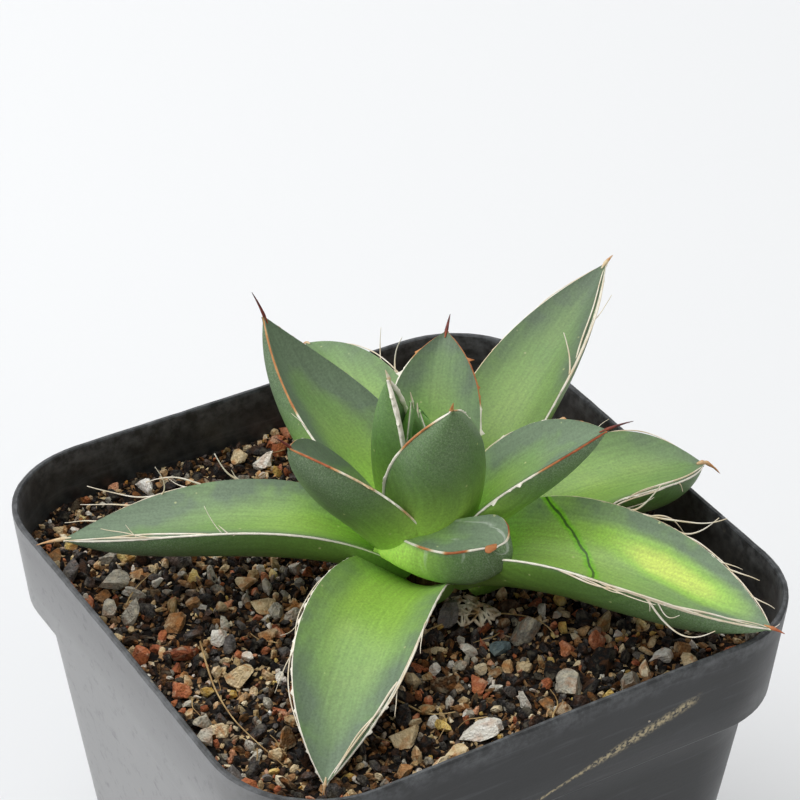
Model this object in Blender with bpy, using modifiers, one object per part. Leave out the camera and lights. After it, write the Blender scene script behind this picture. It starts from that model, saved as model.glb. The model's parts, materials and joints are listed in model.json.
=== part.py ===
"""A young agave rosette in a square black nursery pot filled with gritty soil.

Metres, +Z up. The origin is the middle of the pot's underside, and the front is -Y.
The leaves grow from a short stem, whose roots lie in the soil. Each leaf is a loft of
gutter-shaped sections along a bent centre line, and an outer leaf is hollowed where
an inner one lies against it.
"""

import math
import random
from collections import namedtuple

import bmesh
import bpy
from mathutils import Vector, noise

MM = 0.001

# Pot
POT_HEIGHT = 82 * MM
RIM_WIDTH = 90 * MM
RIM_CORNER = 16 * MM
COLLAR_HEIGHT = 16 * MM      # from the rim down to the step
COLLAR_WIDTH = 86.6 * MM     # across the collar just above the step
STEP_HEIGHT = 1.5 * MM
NECK_WIDTH = 82.4 * MM       # across the body just below the step
FOOT_WIDTH = 66 * MM
FOOT_CORNER = 8 * MM
FOOT_EDGE = 1.2 * MM         # small slope round the underside
WALL = 1.0 * MM
DRAIN_RADIUS = 4.5 * MM
DRAIN_SPACING = 36 * MM      # between the middles of two holes along a side
CORNER_STEPS = 6

# Fits
GAP = 0.3 * MM               # between pieces that touch

# Soil
SOIL_DROP = 8.4 * MM         # mean soil level below the rim
SOIL_BUMP = 0.5 * MM
SOIL_BUMP_SIZE = 9 * MM
SOIL_RINGS = 9

# Stem and roots
PLANT_X = 5 * MM
PLANT_Y = -3 * MM
STEM_TOP = 3 * MM            # above the rim
STEM_LENGTH = 24 * MM
STEM_RADIUS = 4.2 * MM
ROOT_COUNT = 6
ROOT_RADIUS = 1.0 * MM
ROOT_TIP_SHARE = 0.4
ROOT_REACH = 20 * MM
ROOT_DEPTH = 34 * MM
ROOT_POINTS = 8

# Leaves
MARGIN = 0.5 * MM            # thickness of a leaf's edge
SPINE_RADIUS = 0.45 * MM
SPINE_TIP_RADIUS = 0.1 * MM
BLADE_STATIONS = 12
SPINE_STATIONS = 2
CENTRE_STEPS = 40

# heading and rise are in degrees: the heading at the foot, its change along the leaf
# (sweep), the rise above level at the foot, the middle and the tip, and the roll about
# the centre line. foot is the distance from the plant's axis and the height above the
# rim of the leaf's first section. base is the width there as a share of the widest one,
# which is at the share `belly` of the length; a higher taper keeps the tip fuller.
Leaf = namedtuple(
    "Leaf",
    "name length width thick gutter heading sweep rise roll foot base belly taper spine",
)

# From the heart outwards: a leaf is cut back from those before it.
LEAVES = (
    Leaf("leaf_bud_right", 23, 7, 2.6, 0.38, 1, 0, (79, 106, 105), 2,
         (1.7, 1.5), 0.62, 0.45, 2.2, 1.5),
    Leaf("leaf_bud_left", 22, 8.5, 2.6, 0.40, 112, 0, (67, 89, 83), 0,
         (2.2, 0.8), 0.62, 0.45, 2.2, 1.5),
    Leaf("leaf_heart_left", 28, 8.5, 4.0, 0.44, 143, 1, (72, 84, 80), 0,
         (2.7, 0.0), 0.62, 0.44, 2.2, 1.5),
    Leaf("leaf_heart_front", 26.5, 15.5, 3.6, 0.57, -103, 3, (81, 84, 83), 19,
         (3.5, 0.7), 0.59, 0.48, 2.3, 1.5),
    Leaf("leaf_heart_back", 29.5, 13.5, 4.0, 0.31, 60, -12, (50, 48, 33), -5,
         (4.0, -0.9), 0.62, 0.49, 2.4, 3.0),
    Leaf("leaf_spoon_front", 11.5, 19, 4.0, 0.13, -108, 64, (-54, 20, 17), -23,
         (3.9, 5.3), 1.0, 0.61, 3.4, 1.2),
    Leaf("leaf_short_left", 28.5, 17.5, 3.9, 0.36, 168, 0, (68, 48, 54), 13,
         (4.2, -1.3), 0.63, 0.50, 2.5, 3.0),
    Leaf("leaf_short_right", 30.5, 14.5, 3.7, 0.37, -33, -3, (80, 42, 34), -1,
         (3.7, -1.0), 0.61, 0.48, 2.3, 4.0),
    Leaf("leaf_upright_left", 39.5, 16, 4.2, 0.38, 101, 10, (45, 31, 65), 9,
         (4.4, -1.8), 0.62, 0.42, 1.8, 4.0),
    Leaf("leaf_upright_right", 52, 14.5, 4.0, 0.30, 33, -10, (38, 22, 27), -6,
         (5.0, -2.8), 0.62, 0.42, 2.2, 2.0),
    Leaf("leaf_long_right", 48.5, 18.5, 4.5, 0.48, -52, -12, (43, -2, 9), -3,
         (4.6, -3.2), 0.65, 0.36, 2.7, 2.0),
    Leaf("leaf_long_left", 50, 15.5, 4.3, 0.34, 150, 2, (43, -1, -4), 7,
         (4.8, -3.7), 0.65, 0.42, 2.4, 4.0),
    Leaf("leaf_low_right", 38.5, 17.5, 4.3, 0.36, -12, 1, (35, 9, -3), -5,
         (5.0, -3.5), 0.62, 0.62, 2.8, 2.5),
    Leaf("leaf_low_back", 45, 16, 4.0, 0.30, 82, 1, (20, 17, -19), -3,
         (5.0, -4.0), 0.62, 0.45, 2.2, 3.0),
    Leaf("leaf_low_front", 46, 16.5, 4.0, 0.35, -149, 21, (50, -10, -22), -2,
         (4.5, -5.3), 0.61, 0.46, 2.2, 1.5),
)

# The spoon-shaped leaf clasps the front of the stem, so it is drawn through sections of
# its own: millimetres to its near margin, far margin and keel, from the foot to the tip.
SPOON_SECTIONS = (
    ((-4.2, -2.4, 85.0), (-1.8, -2.4, 85.6), (-4.2, -2.2, 82.6)),
    ((-3.9, -5.7, 88.2), (-1.4, -5.4, 88.0), (-4.2, -5.0, 83.4)),
    ((-2.9, -9.4, 88.6), (0.7, -8.1, 89.5), (-3.2, -8.0, 83.6)),
    ((-1.6, -12.4, 88.8), (3.1, -10.4, 90.7), (-1.0, -11.4, 83.4)),
    ((0.0, -14.6, 89.0), (5.6, -12.6, 91.7), (1.6, -14.2, 83.5)),
    ((1.8, -16.2, 89.6), (7.9, -14.7, 92.4), (4.4, -16.9, 84.3)),
    ((3.4, -17.3, 90.2), (8.4, -17.0, 92.0), (6.7, -18.7, 86.3)),
    ((4.4, -17.9, 90.6), (7.4, -18.3, 91.0), (6.9, -19.3, 88.6)),
    ((5.0, -18.2, 90.7), (5.3, -18.4, 90.7), (5.6, -18.8, 90.2)),
)

# Larger stones: name, place from the pot's middle, three half sizes, turn in degrees,
# and colour.
Stone = namedtuple("Stone", "name x y sizes turn colour")
STONES = (
    Stone("stone_grey_granite", 10, -32, (2.9, 2.4, 2.0), 35, (0.26, 0.25, 0.23)),
    Stone("stone_white_pumice", -6.5, -34, (3.4, 2.3, 1.8), 20, (0.62, 0.60, 0.55)),
    Stone("stone_tan_lump", -29, -7, (2.6, 2.1, 1.8), -15, (0.55, 0.40, 0.22)),
    Stone("stone_brown_lump", -31, 8, (2.6, 2.2, 1.9), 60, (0.20, 0.15, 0.11)),
    Stone("stone_round_white", -27.6, 1.6, (1.7, 1.6, 1.5), 0, (0.70, 0.67, 0.60)),
    Stone("stone_blue_slate", 5.3, -20, (2.5, 1.5, 1.1), 30, (0.22, 0.26, 0.28)),
    Stone("stone_sand_flat", -15.6, -29.5, (2.7, 2.1, 1.4), 10, (0.48, 0.36, 0.24)),
    Stone("stone_pale_oval", -11.5, -36.4, (2.1, 1.6, 1.3), -30, (0.55, 0.47, 0.36)),
    Stone("stone_red_lava", -1.2, -25.5, (2.3, 1.8, 1.6), 45, (0.36, 0.12, 0.06)),
    Stone("stone_corner_grey", -34.5, 20, (2.9, 2.2, 1.9), 15, (0.38, 0.33, 0.28)),
    Stone("stone_rust_back", 2.5, 40.0, (2.3, 1.9, 1.8), 20, (0.42, 0.14, 0.06)),
    Stone("stone_cream_back", -3.6, 39.6, (2.2, 2.0, 1.8), 70, (0.60, 0.50, 0.38)),
    Stone("stone_rust_left", -37.6, -5.5, (2.0, 1.5, 1.3), -60, (0.50, 0.22, 0.12)),
    Stone("stone_pumice_side", 24.5, -33.5, (2.3, 1.7, 1.4), 25, (0.42, 0.36, 0.29)),
)
STONE_SINK = 0.35            # share of its height that a stone is bedded
STONE_ROUGHNESS = 0.16

BLACK_PLASTIC = (0.035, 0.037, 0.040)
SOIL_BROWN = (0.060, 0.040, 0.028)
STEM_STRAW = (0.30, 0.22, 0.12)
OUTER_GREEN = (0.16, 0.30, 0.07)
INNER_GREEN = (0.09, 0.19, 0.06)


def clear_scene():
    for obj in list(bpy.data.objects):
        bpy.data.objects.remove(obj, do_unlink=True)


def new_collection(name):
    collection = bpy.data.collections.new(name)
    bpy.context.scene.collection.children.link(collection)
    return collection


def material(name, colour, roughness):
    made = bpy.data.materials.new(name)
    made.use_nodes = True
    shader = made.node_tree.nodes["Principled BSDF"]
    shader.inputs["Base Color"].default_value = (*colour, 1)
    shader.inputs["Roughness"].default_value = roughness
    shader.inputs["Metallic"].default_value = 0
    made.diffuse_color = (*colour, 1)
    return made


def object_from_bmesh(shape, name, collection, smooth=True):
    bmesh.ops.recalc_face_normals(shape, faces=shape.faces)
    mesh = bpy.data.meshes.new(name)
    shape.to_mesh(mesh)
    shape.free()
    if smooth:
        mesh.shade_smooth()
        mesh.set_sharp_from_angle(angle=math.radians(40))
    obj = bpy.data.objects.new(name, mesh)
    collection.objects.link(obj)
    return obj


def hide_cutter(obj):
    obj.hide_render = True
    obj.display_type = "WIRE"


def cut(obj, cutter, operation="DIFFERENCE"):
    modifier = obj.modifiers.new(f"{operation.lower()}_{cutter.name}", "BOOLEAN")
    modifier.operation = operation
    modifier.object = cutter
    modifier.solver = "EXACT"


def apply_modifiers(obj):
    """Gives the object its evaluated mesh, so that a later cut starts from that."""
    bpy.context.view_layer.update()
    graph = bpy.context.evaluated_depsgraph_get()
    mesh = bpy.data.meshes.new_from_object(obj.evaluated_get(graph))
    obj.modifiers.clear()
    obj.data = mesh


def keep_largest_body(obj):
    """Drops the crumbs that a cut leaves beyond an inner leaf."""
    shape = bmesh.new()
    shape.from_mesh(obj.data)
    bmesh.ops.remove_doubles(shape, verts=shape.verts, dist=1e-6)
    unseen = set(shape.verts)
    bodies = []
    while unseen:
        body = set()
        waiting = [unseen.pop()]
        while waiting:
            vert = waiting.pop()
            body.add(vert)
            near = {edge.other_vert(vert) for edge in vert.link_edges} & unseen
            unseen -= near
            waiting.extend(near)
        bodies.append(body)
    largest = max(bodies, key=body_volume)
    spare = [vert for vert in shape.verts if vert not in largest]
    bmesh.ops.delete(shape, geom=spare, context="VERTS")
    shape.to_mesh(obj.data)
    shape.free()


def body_volume(body):
    """Volume of one closed body, as the sum of the cones under its faces."""
    faces = {face for vert in body for face in vert.link_faces}
    return sum(
        face.normal.dot(face.calc_center_median()) * face.calc_area() / 3
        for face in faces
    )


def loft(rings):
    """A closed solid through rings of as many points each, by extruding the first."""
    shape = bmesh.new()
    first = shape.faces.new([shape.verts.new(point) for point in rings[0]])
    face = first
    for ring in rings[1:]:
        made = bmesh.ops.extrude_face_region(shape, geom=[face])["geom"]
        if face is not first:
            bmesh.ops.delete(shape, geom=[face], context="FACES_ONLY")
        face = next(item for item in made if isinstance(item, bmesh.types.BMFace))
        for vert, point in zip(face.verts, ring):
            vert.co = point
    return shape


# Pot and soil


def rounded_square(half, corner, height):
    """The points of a square with round corners, counter-clockwise from above."""
    points = []
    for quarter in range(4):
        middle_angle = math.radians(45 + 90 * quarter)
        reach = (half - corner) * math.sqrt(2)
        middle = Vector((math.cos(middle_angle), math.sin(middle_angle))) * reach
        for step in range(CORNER_STEPS + 1):
            angle = math.radians(90 * quarter + 90 * step / CORNER_STEPS)
            points.append(
                Vector((
                    middle.x + corner * math.cos(angle),
                    middle.y + corner * math.sin(angle),
                    height,
                ))
            )
    return points


def pot_levels():
    """(height, half width, corner radius) of the outside, from the foot to the rim."""
    step_top = POT_HEIGHT - COLLAR_HEIGHT
    step_foot = step_top - STEP_HEIGHT
    corner_at_neck = FOOT_CORNER + (RIM_CORNER - FOOT_CORNER) * 0.75
    return (
        (0, FOOT_WIDTH / 2 - FOOT_EDGE, FOOT_CORNER - FOOT_EDGE),
        (FOOT_EDGE, FOOT_WIDTH / 2, FOOT_CORNER),
        (step_foot, NECK_WIDTH / 2, corner_at_neck),
        (step_top, COLLAR_WIDTH / 2, RIM_CORNER - (RIM_WIDTH - COLLAR_WIDTH) / 2),
        (POT_HEIGHT, RIM_WIDTH / 2, RIM_CORNER),
    )


def pot_size_at(height):
    """Half width and corner radius of the pot's outside at a height."""
    levels = pot_levels()
    for (low, low_half, low_corner), (high, high_half, high_corner) in zip(
        levels, levels[1:]
    ):
        if height <= high:
            share = (height - low) / (high - low)
            return (
                low_half + (high_half - low_half) * share,
                low_corner + (high_corner - low_corner) * share,
            )
    return levels[-1][1:]


def make_shell(name, collection, thickness):
    """The pot without its holes, of the given thickness inwards from its outside."""
    shape = bmesh.new()
    height, half, corner = pot_levels()[0]
    ring = [shape.verts.new(point) for point in rounded_square(half, corner, height)]
    shape.faces.new(ring)
    for height, half, corner in pot_levels()[1:]:
        points = rounded_square(half, corner, height)
        edges = [
            shape.edges.get((first, second))
            for first, second in zip(ring, ring[1:] + ring[:1])
        ]
        made = bmesh.ops.extrude_edge_only(shape, edges=edges)["geom"]
        fresh = {item for item in made if isinstance(item, bmesh.types.BMVert)}
        ring = [
            next(
                edge.other_vert(vert) for edge in vert.link_edges
                if edge.other_vert(vert) in fresh
            )
            for vert in ring
        ]
        for vert, point in zip(ring, points):
            vert.co = point
    shell = object_from_bmesh(shape, name, collection)
    wall = shell.modifiers.new("wall", "SOLIDIFY")
    wall.thickness = thickness
    wall.offset = -1
    wall.use_even_offset = True
    return shell


def make_pot(parts, cutters):
    pot = make_shell("pot", parts, WALL)
    for x in (-1, 1):
        for y in (-1, 1):
            hole = bmesh.new()
            bmesh.ops.create_cone(
                hole, cap_ends=True, segments=16, radius1=DRAIN_RADIUS,
                radius2=DRAIN_RADIUS, depth=8 * WALL,
            )
            place = (x * DRAIN_SPACING / 2, y * DRAIN_SPACING / 2, 0)
            bmesh.ops.translate(hole, verts=hole.verts, vec=place)
            drain = object_from_bmesh(hole, f"drain_{x}_{y}", cutters)
            hide_cutter(drain)
            cut(pot, drain)
    pot.data.materials.append(material("black_plastic", BLACK_PLASTIC, 0.55))


def soil_level(x, y):
    bump = noise.noise(Vector((x, y, 0)) / SOIL_BUMP_SIZE)
    return POT_HEIGHT - SOIL_DROP + SOIL_BUMP * bump


def make_soil(parts, cutters):
    """A block whose sides lie inside the pot's wall, cut back by a thicker pot."""
    inset = WALL / 2
    top = POT_HEIGHT - SOIL_DROP
    heights = [inset]
    heights += [height for height, _, _ in pot_levels()[1:] if inset < height < top]
    heights.append(top)
    rings = []
    for height in heights:
        half, corner = pot_size_at(height)
        rings.append(rounded_square(half - inset, corner - inset, height))
    edge_ring = rings.pop()
    for ring in range(SOIL_RINGS):
        share = 1 - ring / SOIL_RINGS
        places = [(point.x * share, point.y * share) for point in edge_ring]
        rings.append([Vector((x, y, soil_level(x, y))) for x, y in places])
    soil = object_from_bmesh(loft(rings), "soil", parts)
    space = make_shell("pot_space", cutters, WALL + GAP)
    hide_cutter(space)
    cut(soil, space)
    soil.data.materials.append(material("gritty_soil", SOIL_BROWN, 0.95))
    return soil


# Stem and roots


def stem_profile(grow):
    """(radius, height) down the stem's outer side, from the top to the pointed foot."""
    top = POT_HEIGHT + STEM_TOP + grow
    foot = POT_HEIGHT + STEM_TOP - STEM_LENGTH - grow
    shares = ((0.0, 0.25), (0.12, 0.62), (0.3, 0.92), (0.5, 1.0), (0.75, 0.9), (0.93, 0.55))
    outer = [
        (STEM_RADIUS * width + grow, top + (foot - top) * down)
        for down, width in shares
    ]
    return [(0, top)] + outer + [(0, foot)]


def make_stem_body(name, collection, grow=0.0):
    shape = bmesh.new()
    points = [shape.verts.new((radius, 0, z)) for radius, z in stem_profile(grow)]
    for upper, lower in zip(points, points[1:]):
        shape.edges.new((upper, lower))
    mesh = bpy.data.meshes.new(name)
    shape.to_mesh(mesh)
    shape.free()
    body = bpy.data.objects.new(name, mesh)
    body.location = (PLANT_X, PLANT_Y, 0)
    collection.objects.link(body)
    turn = body.modifiers.new("turn", "SCREW")
    turn.steps = 16
    turn.render_steps = 16
    turn.use_merge_vertices = True
    turn.merge_threshold = 1e-5
    turn.use_smooth_shade = True
    return body


def root_path(number, extra=0.0):
    """Points of one root, from inside the stem outwards and down in a slack curve."""
    heading = 2 * math.pi * (number + 0.35) / ROOT_COUNT
    start_z = POT_HEIGHT + STEM_TOP - 0.78 * STEM_LENGTH
    reach = ROOT_REACH * (0.8 + 0.2 * math.sin(2.3 * number))
    depth = ROOT_DEPTH * (0.85 + 0.15 * math.cos(1.7 * number))
    points = []
    for step in range(ROOT_POINTS):
        share = step / (ROOT_POINTS - 1)
        turn = heading + 0.35 * math.sin(2.6 * share + number)
        out = 0.3 * STEM_RADIUS + reach * share**0.8
        points.append(
            Vector((
                PLANT_X + out * math.cos(turn),
                PLANT_Y + out * math.sin(turn),
                start_z - depth * share**1.4,
            ))
        )
    if extra:
        points[-1] += (points[-1] - points[-2]).normalized() * extra
    return points


def make_root(name, collection, number, grow=0.0):
    curve = bpy.data.curves.new(name, "CURVE")
    curve.dimensions = "3D"
    curve.bevel_depth = ROOT_RADIUS
    curve.bevel_resolution = 1
    curve.use_fill_caps = True
    spline = curve.splines.new("POLY")
    points = root_path(number, grow)
    spline.points.add(len(points) - 1)
    for step, (slot, place) in enumerate(zip(spline.points, points)):
        taper = 1 - (1 - ROOT_TIP_SHARE) * step / (ROOT_POINTS - 1)
        slot.co = (*place, 1)
        slot.radius = taper + grow / ROOT_RADIUS
    guide = bpy.data.objects.new(name + "_line", curve)
    collection.objects.link(guide)
    bpy.context.view_layer.update()
    graph = bpy.context.evaluated_depsgraph_get()
    mesh = bpy.data.meshes.new_from_object(guide.evaluated_get(graph))
    shape = bmesh.new()
    shape.from_mesh(mesh)
    bmesh.ops.remove_doubles(shape, verts=shape.verts, dist=1e-6)
    root = object_from_bmesh(shape, name, collection)
    root.matrix_world = guide.matrix_world
    bpy.data.objects.remove(guide, do_unlink=True)
    return root


def make_stem(parts, cutters, soil):
    stem = make_stem_body("stem", parts)
    space = make_stem_body("stem_space", cutters, GAP)
    hide_cutter(space)
    cut(soil, space)
    for number in range(ROOT_COUNT):
        root = make_root(f"root_{number}", cutters, number)
        root_space = make_root(f"root_space_{number}", cutters, number, GAP)
        hide_cutter(root)
        hide_cutter(root_space)
        cut(stem, root, "UNION")
        cut(soil, root_space)
    stem.data.materials.append(material("stem_fibre", STEM_STRAW, 0.8))
    return space


# Leaves


def leaf_width_share(leaf, along):
    if along < leaf.belly:
        rise = math.sin(along / leaf.belly * math.pi / 2)
        return leaf.base + (1 - leaf.base) * rise
    fall = (along - leaf.belly) / (1 - leaf.belly)
    return 1 - fall**leaf.taper


def leaf_frame(leaf, along):
    """Directions along, across and up from the leaf at a share of its length."""
    foot, middle, tip = (math.radians(angle) for angle in leaf.rise)
    rise = (
        foot * (1 - along) * (1 - 2 * along)
        + middle * 4 * along * (1 - along)
        + tip * along * (2 * along - 1)
    )
    heading = math.radians(leaf.heading + leaf.sweep * along)
    forward = Vector((
        math.cos(rise) * math.cos(heading),
        math.cos(rise) * math.sin(heading),
        math.sin(rise),
    ))
    level = Vector((-math.sin(heading), math.cos(heading), 0))
    upper = forward.cross(level)
    roll = math.radians(leaf.roll)
    across = level * math.cos(roll) + upper * math.sin(roll)
    up = upper * math.cos(roll) - level * math.sin(roll)
    return forward, across, up


def leaf_centre(leaf):
    """Points of the centre line, evenly spaced from the foot to the blade's end."""
    heading = math.radians(leaf.heading)
    distance, height = leaf.foot
    place = Vector((
        PLANT_X + distance * MM * math.cos(heading),
        PLANT_Y + distance * MM * math.sin(heading),
        POT_HEIGHT + height * MM,
    ))
    stride = leaf.length * MM / CENTRE_STEPS
    points = [place.copy()]
    for step in range(CENTRE_STEPS):
        place += leaf_frame(leaf, (step + 0.5) / CENTRE_STEPS)[0] * stride
        points.append(place.copy())
    return points


def leaf_section(centre, across, up, half, thick, gutter, grow):
    """Ten points round a section: the hollowed upper face, then the rounded lower."""
    shares = (-1, -0.5, 0, 0.5, 1)
    upper = []
    lower = []
    for share in shares:
        side = across * share * (half + grow)
        hollow = gutter * half * share**2
        belly = MARGIN + (thick - MARGIN) * (1 - share**2) ** 0.8
        upper.append(centre + side + up * (hollow + MARGIN / 2 + grow))
        lower.append(centre + side + up * (hollow + MARGIN / 2 - belly - grow))
    return upper + lower[::-1]


def spoon_rings(grow):
    """Sections of the spoon-shaped leaf, through its margins and keel."""
    rings = []
    for number, section in enumerate(SPOON_SECTIONS):
        near, far, keel = (Vector(point) * MM for point in section)
        middle = (near + far) / 2
        across = (far - near).normalized()
        half = max((far - near).length / 2, SPINE_RADIUS)
        up = (middle - keel).normalized()
        thick = max((middle - keel).length, 2 * SPINE_RADIUS)
        if number == 0:
            middle -= across.cross(up) * grow
        if number == len(SPOON_SECTIONS) - 1:
            middle += across.cross(up) * grow
        rings.append(leaf_section(middle, across, up, half, thick, 0.1, grow))
    return rings


def leaf_rings(leaf, grow=0.0):
    if leaf.name == "leaf_spoon_front":
        return spoon_rings(grow)
    centres = leaf_centre(leaf)
    half_width = leaf.width * MM / 2
    rings = []
    for station in range(BLADE_STATIONS + 1):
        along = station / BLADE_STATIONS
        index = along * CENTRE_STEPS
        low = min(int(index), CENTRE_STEPS - 1)
        centre = centres[low].lerp(centres[low + 1], index - low)
        forward, across, up = leaf_frame(leaf, along)
        share = leaf_width_share(leaf, along)
        half = max(half_width * share, SPINE_RADIUS)
        thick = max(leaf.thick * MM * share**0.8, 2 * SPINE_RADIUS)
        if station == 0:
            centre = centre - forward * grow
        rings.append(leaf_section(centre, across, up, half, thick, leaf.gutter, grow))
    for station in range(1, SPINE_STATIONS + 1):
        share = station / SPINE_STATIONS
        radius = SPINE_RADIUS + (SPINE_TIP_RADIUS - SPINE_RADIUS) * share
        place = centres[-1] + forward * (leaf.spine * MM + grow) * share
        rings.append(leaf_section(place, across, up, radius, 2 * radius, 0, grow))
    return rings


def world_box(obj):
    corners = [obj.matrix_world @ Vector(corner) for corner in obj.bound_box]
    lows = [min(corner[axis] for corner in corners) for axis in range(3)]
    highs = [max(corner[axis] for corner in corners) for axis in range(3)]
    return lows, highs


def boxes_meet(first, second):
    (low_a, high_a), (low_b, high_b) = world_box(first), world_box(second)
    return all(low_a[i] < high_b[i] and low_b[i] < high_a[i] for i in range(3))


def make_leaves(parts, cutters, stem_space, soil):
    """Leaves from the heart outwards; one that dips to the soil presses a hollow in it."""
    inner = []
    for number, leaf in enumerate(LEAVES):
        blade = object_from_bmesh(loft(leaf_rings(leaf)), leaf.name, parts)
        for space in (*reversed(inner), stem_space):
            if boxes_meet(blade, space):
                cut(blade, space)
                apply_modifiers(blade)
                keep_largest_body(blade)
        blade.data.materials.clear()
        outer_share = number / (len(LEAVES) - 1)
        colour = tuple(
            young + (old - young) * outer_share
            for young, old in zip(INNER_GREEN, OUTER_GREEN)
        )
        blade.data.materials.append(material(leaf.name, colour, 0.5))
        space = object_from_bmesh(
            loft(leaf_rings(leaf, GAP)), leaf.name + "_space", cutters
        )
        hide_cutter(space)
        inner.append(space)
        if boxes_meet(soil, space):
            cut(soil, space)


# Stones


def stone_shape(stone, seed, grow=0.0):
    random.seed(seed)
    shape = bmesh.new()
    bmesh.ops.create_icosphere(shape, subdivisions=2, radius=1)
    offset = Vector((random.random(), random.random(), random.random())) * 10
    turn = math.radians(stone.turn)
    half_height = stone.sizes[2] * MM
    level = soil_level(stone.x * MM, stone.y * MM)
    middle = level + half_height * (1 - 2 * STONE_SINK)
    for vert in shape.verts:
        lump = 1 + STONE_ROUGHNESS * noise.noise(vert.co * 1.3 + offset)
        x, y, z = (
            axis * (lump * size * MM + grow) for axis, size in zip(vert.co, stone.sizes)
        )
        vert.co = (
            stone.x * MM + x * math.cos(turn) - y * math.sin(turn),
            stone.y * MM + x * math.sin(turn) + y * math.cos(turn),
            middle + z,
        )
    return shape


def make_stones(parts, cutters, soil):
    for seed, stone in enumerate(STONES):
        lump = object_from_bmesh(stone_shape(stone, seed), stone.name, parts, False)
        lump.data.materials.append(material(stone.name, stone.colour, 0.9))
        bed = object_from_bmesh(
            stone_shape(stone, seed, GAP), stone.name + "_bed", cutters, False
        )
        hide_cutter(bed)
        cut(soil, bed)


def main():
    clear_scene()
    parts = new_collection("potted_agave")
    cutters = new_collection("cutters")
    make_pot(parts, cutters)
    soil = make_soil(parts, cutters)
    stem_space = make_stem(parts, cutters, soil)
    make_leaves(parts, cutters, stem_space, soil)
    make_stones(parts, cutters, soil)


main()
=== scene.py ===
"""Potted agave: leaves, horny margins, threads, gritty soil and a black plastic pot.

Run as a script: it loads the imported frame, builds each group of pieces with its own
operator, and ends with the studio. Sizes in the tables are in millimetres.
"""

import json
import math
import random
from collections import namedtuple

import bmesh
import bpy
from mathutils import Euler, Matrix, Vector, noise
from mathutils.bvhtree import BVHTree

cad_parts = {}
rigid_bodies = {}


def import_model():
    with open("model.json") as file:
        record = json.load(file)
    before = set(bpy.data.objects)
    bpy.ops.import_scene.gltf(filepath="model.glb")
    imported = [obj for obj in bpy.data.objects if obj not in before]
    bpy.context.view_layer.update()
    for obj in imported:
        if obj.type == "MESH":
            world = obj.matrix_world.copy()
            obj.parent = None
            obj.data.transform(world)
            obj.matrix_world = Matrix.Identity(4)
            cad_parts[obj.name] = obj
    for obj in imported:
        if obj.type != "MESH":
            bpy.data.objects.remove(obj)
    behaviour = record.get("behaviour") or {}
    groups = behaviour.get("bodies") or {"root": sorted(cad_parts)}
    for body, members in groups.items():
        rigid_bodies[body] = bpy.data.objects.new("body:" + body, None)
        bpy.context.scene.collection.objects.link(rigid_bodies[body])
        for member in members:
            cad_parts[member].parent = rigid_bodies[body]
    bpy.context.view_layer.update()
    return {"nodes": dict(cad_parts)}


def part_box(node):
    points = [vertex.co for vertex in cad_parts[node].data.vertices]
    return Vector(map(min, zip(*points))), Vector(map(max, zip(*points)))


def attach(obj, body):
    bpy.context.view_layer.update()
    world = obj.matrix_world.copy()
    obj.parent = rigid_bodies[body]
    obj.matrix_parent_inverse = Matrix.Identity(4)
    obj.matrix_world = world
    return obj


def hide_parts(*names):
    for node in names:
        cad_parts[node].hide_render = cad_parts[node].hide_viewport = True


bl_info = {
    "name": "Potted agave",
    "version": (1, 0, 0),
    "blender": (4, 5, 0),
    "location": "3D View > Sidebar > Agave",
    "description": "Builds the looks of a thread agave in a square nursery pot",
    "category": "Object",
}

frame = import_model()

MM = 0.001
BODY = "root"


def linear(code):
    """An sRGB hex colour as linear red, green, blue and alpha."""
    parts = [int(code[place:place + 2], 16) / 255 for place in (1, 3, 5)]
    return tuple(
        part / 12.92 if part <= 0.04045 else ((part + 0.055) / 1.055) ** 2.4
        for part in parts
    ) + (1.0,)


def smooth_step(low, high, value):
    share = min(max((value - low) / (high - low), 0.0), 1.0)
    return share * share * (3 - 2 * share)


# Sizes and colours


class AgaveSizes(bpy.types.PropertyGroup):
    """Sizes that a user would change."""

    pot_height: bpy.props.FloatProperty(
        name="Pot height", description="Height of the pot's rim above its foot",
        default=82 * MM, unit="LENGTH")
    rim_width: bpy.props.FloatProperty(
        name="Rim width", description="Outside width of the pot at its rim",
        default=90 * MM, unit="LENGTH")
    wall: bpy.props.FloatProperty(
        name="Wall", description="Thickness of the pot's wall",
        default=1.0 * MM, unit="LENGTH")
    soil_drop: bpy.props.FloatProperty(
        name="Soil drop", description="Depth of the soil's surface under the rim",
        default=8.6 * MM, unit="LENGTH")
    thread_width: bpy.props.FloatProperty(
        name="Thread width", description="Thickness of a marginal thread at its root",
        default=0.3 * MM, unit="LENGTH")


class AgaveColours(bpy.types.PropertyGroup):
    """Colours that a user would change."""

    pot: bpy.props.FloatVectorProperty(
        name="Pot", description="Black nursery plastic", subtype="COLOR", size=4,
        default=linear("#0c0e10"))
    leaf_foot: bpy.props.FloatVectorProperty(
        name="Leaf foot", description="Yellow-green near the heart", subtype="COLOR",
        size=4, default=linear("#8fb845"))
    leaf_blade: bpy.props.FloatVectorProperty(
        name="Leaf blade", description="Mid green of the blade", subtype="COLOR",
        size=4, default=linear("#6c9246"))
    leaf_bloom: bpy.props.FloatVectorProperty(
        name="Leaf bloom", description="Grey-green wax bloom", subtype="COLOR",
        size=4, default=linear("#61755a"))
    leaf_back: bpy.props.FloatVectorProperty(
        name="Leaf back", description="Darker green of the lower face",
        subtype="COLOR", size=4, default=linear("#527831"))
    horn: bpy.props.FloatVectorProperty(
        name="Horn", description="Ivory of the leaf margins", subtype="COLOR",
        size=4, default=linear("#f1ecdc"))


# Helpers for meshes


def deselect_all():
    if bpy.context.object and bpy.context.object.mode != "OBJECT":
        bpy.ops.object.mode_set(mode="OBJECT")
    bpy.ops.object.select_all(action="DESELECT")


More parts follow.
